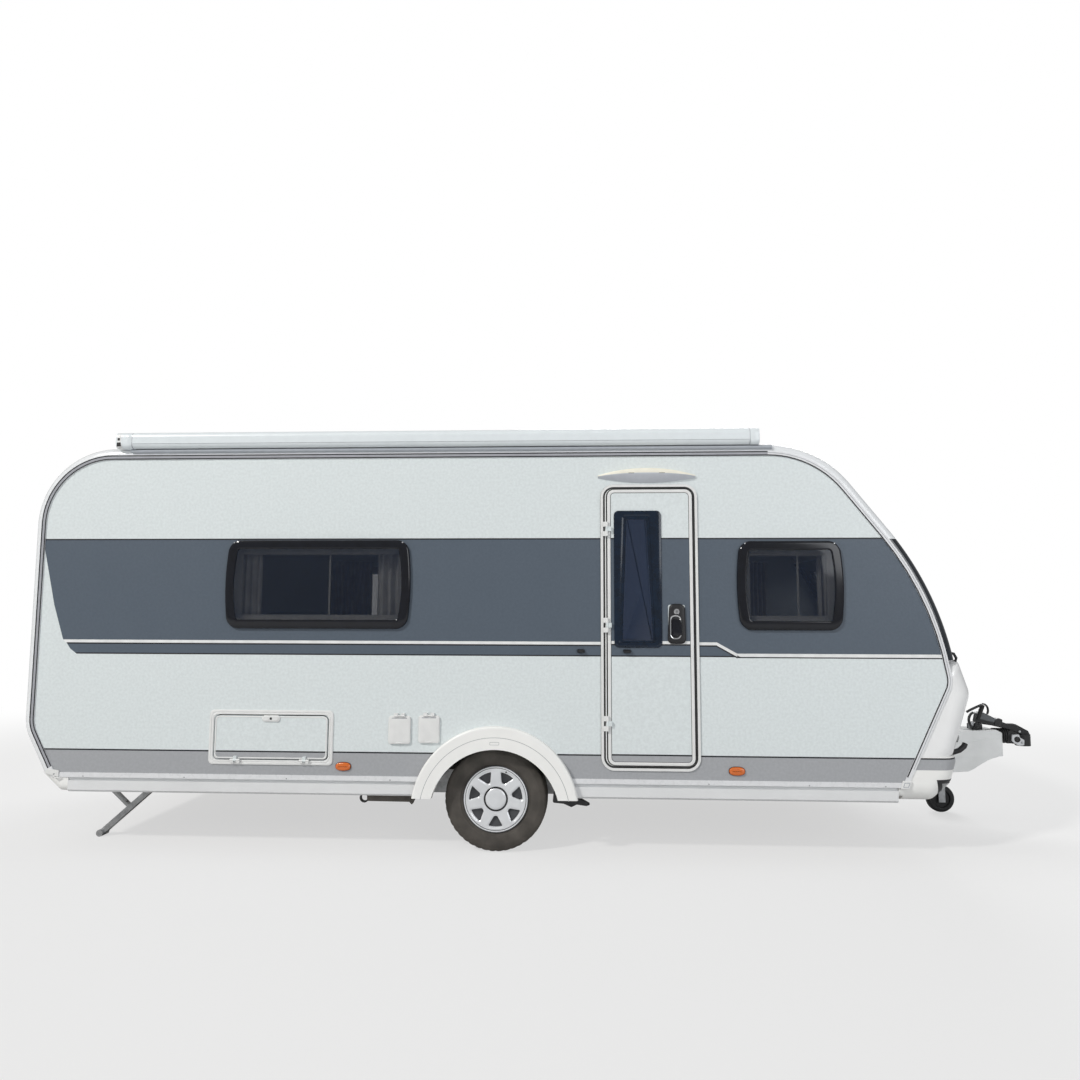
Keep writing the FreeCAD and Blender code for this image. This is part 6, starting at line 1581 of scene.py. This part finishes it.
plate_x = rear_wall.x(0.0, 0.800) + 0.002
end_form("plate_frame", panel(-0.272, 0.735, 0.272, 0.865, 0.012), [
    (0, 0), (0, 0.0085), (0.002, 0.0105), (0.007, 0.0105), (0.009, 0.0075), (0.009, 0)], plate_x, BLACK,
    closed=True, slot="black_plastic")
end_form("plate_blank", panel(-0.262, 0.745, 0.262, 0.855, 0.008),
         [(0, 0.0005), (0, 0.0060), (0.0015, 0.0072)], plate_x, PLASTIC, slot="white_plastic")
for index, y in enumerate((-0.13, 0.13)):
    end_form("plate_lamp_%d" % index, panel(y - 0.036, 0.880, y + 0.036, 0.906, 0.010), [
        (0, -0.003), (0, 0.010), (0.004, 0.017), (0.010, 0.018)], rear_wall.x(y, 0.893), BLACK,
        slot="black_plastic")
brake_x = min(rear_wall.x(0.0, 2.030), rear_wall.x(0.0, 2.070)) + 0.004
end_form("high_brake_seat", panel(-0.185, 2.030, 0.185, 2.070, 0.016), [
    (0, -0.010), (0, 0.010), (0.003, 0.013), (0.007, 0.0125)], brake_x, PLASTIC, slot="white_plastic")
end_form("high_brake_lens", panel(-0.172, 2.038, 0.172, 2.062, 0.009), [
    (0, 0.009), (0, 0.0145), (0.003, 0.017), (0.006, 0.0175)], brake_x, RED, slot="lamp_lens")

# Gas locker lid: turn locks and a grip

LID_LOCK_Z = 0.705
LID_GRIP_Z = 0.735
LID_LOCK = [(-0.012, 0.033), (0.002, 0.033), (0.006, 0.030), (0.007, 0.024), (0.005, 0.0)]
lid_wall = Surface("gas_locker_lid", 1)
for side, label in SIDES:
    y = side * 0.62
    x = lid_wall.x(y, LID_LOCK_Z)
    lathe("lid_lock_seat_" + label, LID_LOCK, at(x, y, LID_LOCK_Z), "x", PLASTIC, 36, body="locker_lid",
          slot="white_plastic")
    block("lid_lock_turn_" + label, (x + 0.002, y - 0.006, 0.684), (x + 0.014, y + 0.006, 0.726), BLACK,
          0.004, body="locker_lid")
tube("lid_grip", [
    at(lid_wall.x(y, LID_GRIP_Z) - 0.004 + 0.022 * share, y, LID_GRIP_Z)
    for y, share in ((-0.120, 0.0), (-0.116, 0.7), (-0.100, 1.0), (0.100, 1.0), (0.116, 0.7), (0.120, 0.0))],
    0.008, BLACK, 12, body="locker_lid", slot="black_plastic")

# Small white reflectors below the locker lid

nose_wall = Surface("bumpers", 1)
for side, label in SIDES:
    y, z = side * 0.72, 0.52
    lathe("front_reflector_" + label, [(-0.010, 0.034), (0.002, 0.034), (0.005, 0.031), (0.006, 0.0)],
          at(nose_wall.x(y, z), y, z), "x", REFLECTOR, 32, slot="lamp_lens")

# Catches under the corners of the roof lights

for label, (x, half) in zip(("front", "rear"), ROOF_LIGHTS):
    reach = half - 0.055
    for corner, (u, v) in enumerate(((-1, -1), (1, -1), (1, 1), (-1, 1))):
        block("roof_catch_%s_%d" % (label, corner), (x + u * reach - 0.018, v * reach - 0.012, 2.530),
              (x + u * reach + 0.018, v * reach + 0.012, 2.534), PLASTIC_OLD, 0.001)

# Soft goods: cushions blown up by a cloth simulation inside the space of their solids

CLOTH_FRAMES = 20
EDGE_GAP = 0.006
EDGE_PULL = 0.006
EDGE_BAND = 0.9
PILLOW_SEGMENTS = 4
PIPING_SIDES = 6


def applied(piece):
    """Replaces a piece's mesh by its evaluated mesh and drops the modifiers."""
    depsgraph = bpy.context.evaluated_depsgraph_get()
    data = bpy.data.meshes.new_from_object(piece.evaluated_get(depsgraph), preserve_all_data_layers=False,
                                           depsgraph=depsgraph)
    piece.modifiers.clear()
    piece.data = data
    return data


def pillow(name, low, high, round_side, voxel):
    """A closed form with round edges."""
    mesh = bmesh.new()
    bmesh.ops.create_cube(mesh, size=1.0)
    middle, span = (low + high) / 2, high - low
    for vert in mesh.verts:
        vert.co = middle + vert.co * span
    bmesh.ops.bevel(mesh, geom=mesh.edges[:], offset=round_side, segments=PILLOW_SEGMENTS, profile=0.5,
                    affect="EDGES")
    piece = mesh_object(name, mesh)
    remesh = piece.modifiers.new("remesh", "REMESH")
    remesh.mode = "VOXEL"
    remesh.voxel_size = voxel
    applied(piece)
    return piece


def blown_up(piece):
    """Runs the cloth simulation, with pressure inside, and keeps its last frame."""
    cloth = piece.modifiers.new("cloth", "CLOTH").settings
    cloth.quality = 4
    cloth.mass = 0.3
    cloth.use_pressure = True
    cloth.uniform_pressure_force = 4.0
    cloth.effector_weights.gravity = 0.0
    for step in range(1, CLOTH_FRAMES + 1):
        bpy.context.scene.frame_set(step)
    applied(piece)
    bpy.context.scene.frame_set(1)


def cushion(name, low, high, material, voxel, cap, round_side, crown, channels, replaced):
    """A padded piece between two corners, crowned on top, with sewn channels across it."""
    margin = Vector((EDGE_GAP, EDGE_GAP, 0.0))
    piece = pillow(name, low + margin, high - Vector((0, 0, crown)) - margin, round_side, voxel)
    before = [vertex.co.copy() for vertex in piece.data.vertices]
    middle, half = (low + high) / 2, (high - low) / 2
    blown_up(piece)
    for index, vertex in enumerate(piece.data.vertices):
        moved = vertex.co - before[index]
        if moved.length > cap:
            moved *= cap / moved.length
        place = before[index] + moved
        u = (place.x - middle.x) / half.x
        v = (place.y - middle.y) / half.y
        if place.z > middle.z:
            place.z += crown * max(0.0, 1 - u ** 4) * max(0.0, 1 - v ** 4) * 0.9
        pull = EDGE_PULL * (1 - abs(place.z - middle.z) / half.z)
        place.x -= math.copysign(pull, u) * (abs(u) > EDGE_BAND) * (1 - v * v)
        place.y -= math.copysign(pull, v) * (abs(v) > EDGE_BAND) * (1 - u * u)
        for axis in range(3):
            place[axis] = min(max(place[axis], low[axis]), high[axis])
        vertex.co = place
    smooth = piece.modifiers.new("smooth", "SUBSURF")
    smooth.levels = 1
    smooth.render_levels = 1
    data = applied(piece)
    for vertex in data.vertices:
        if vertex.co.z >= middle.z:
            vertex.co.z -= max(depth * math.exp(-((vertex.co[axis] - line) / width) ** 2)
                               for axis, line, depth, width in channels)
    data.materials.clear()
    data.materials.append(material)
    for polygon in data.polygons:
        polygon.use_smooth = True
    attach(piece, "caravan")
    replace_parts(piece, replaced)


def piping(name, low, high, z, radius, material, replaced):
    """A sewn cord round a cushion's edge."""
    outline = panel(low[0] + 0.010, low[1] + 0.010, high[0] - 0.010, high[1] - 0.010, 0.05)
    loops = []
    for index, point in enumerate(outline):
        ahead = (outline[(index + 1) % len(outline)] - outline[index - 1]).normalized()
        out = Vector((ahead.y, -ahead.x, 0)) * radius
        turns = [2 * math.pi * part / PIPING_SIDES for part in range(PIPING_SIDES)]
        loops.append([Vector((*point, z)) + out * math.cos(turn) + Vector((0, 0, radius * math.sin(turn)))
                      for turn in turns])
    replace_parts(loft(name, loops, material, closed=True, slot="upholstery", smooth=80), replaced)


# Sewn channels as (axis, line, depth, width)
low, high = (Vector(corner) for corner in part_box("mattress"))
span = high - low
channels = [(0, low.x + span.x * part / 12, 0.004, 0.010) for part in range(1, 12)]
channels += [(1, low.y + span.y * part / 8, 0.004, 0.010) for part in range(1, 8)]
cushion("mattress_padded", low, high, TICKING, 0.021, 0.010, 0.030, 0.012, channels, "mattress")
for index, z in enumerate((low.z + 0.018, high.z - 0.026)):
    piping("mattress_piping_%d" % index, low, high, z, 0.004, CURTAIN, "mattress")

SEATS = 3
SEAT_GAP = 0.003
sofa_low, sofa_high = (Vector(corner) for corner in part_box("sofa_cushions"))
wide = (sofa_high.y - sofa_low.y) / SEATS
for index in range(SEATS):
    low = Vector((sofa_low.x, sofa_low.y + wide * index + SEAT_GAP, sofa_low.z))
    high = Vector((sofa_high.x, sofa_low.y + wide * (index + 1) - SEAT_GAP, sofa_high.z))
    channels = [(0, low.x + (high.x - low.x) * part, 0.005, 0.007) for part in (0.22, 0.78)]
    cushion("sofa_seat_%d" % index, low, high, UPHOLSTERY, 0.012, 0.016, 0.034, 0.020, channels,
            "sofa_cushions")
    piping("sofa_piping_%d" % index, low, high, low.z + 0.080, 0.0035, LINING, "sofa_cushions")
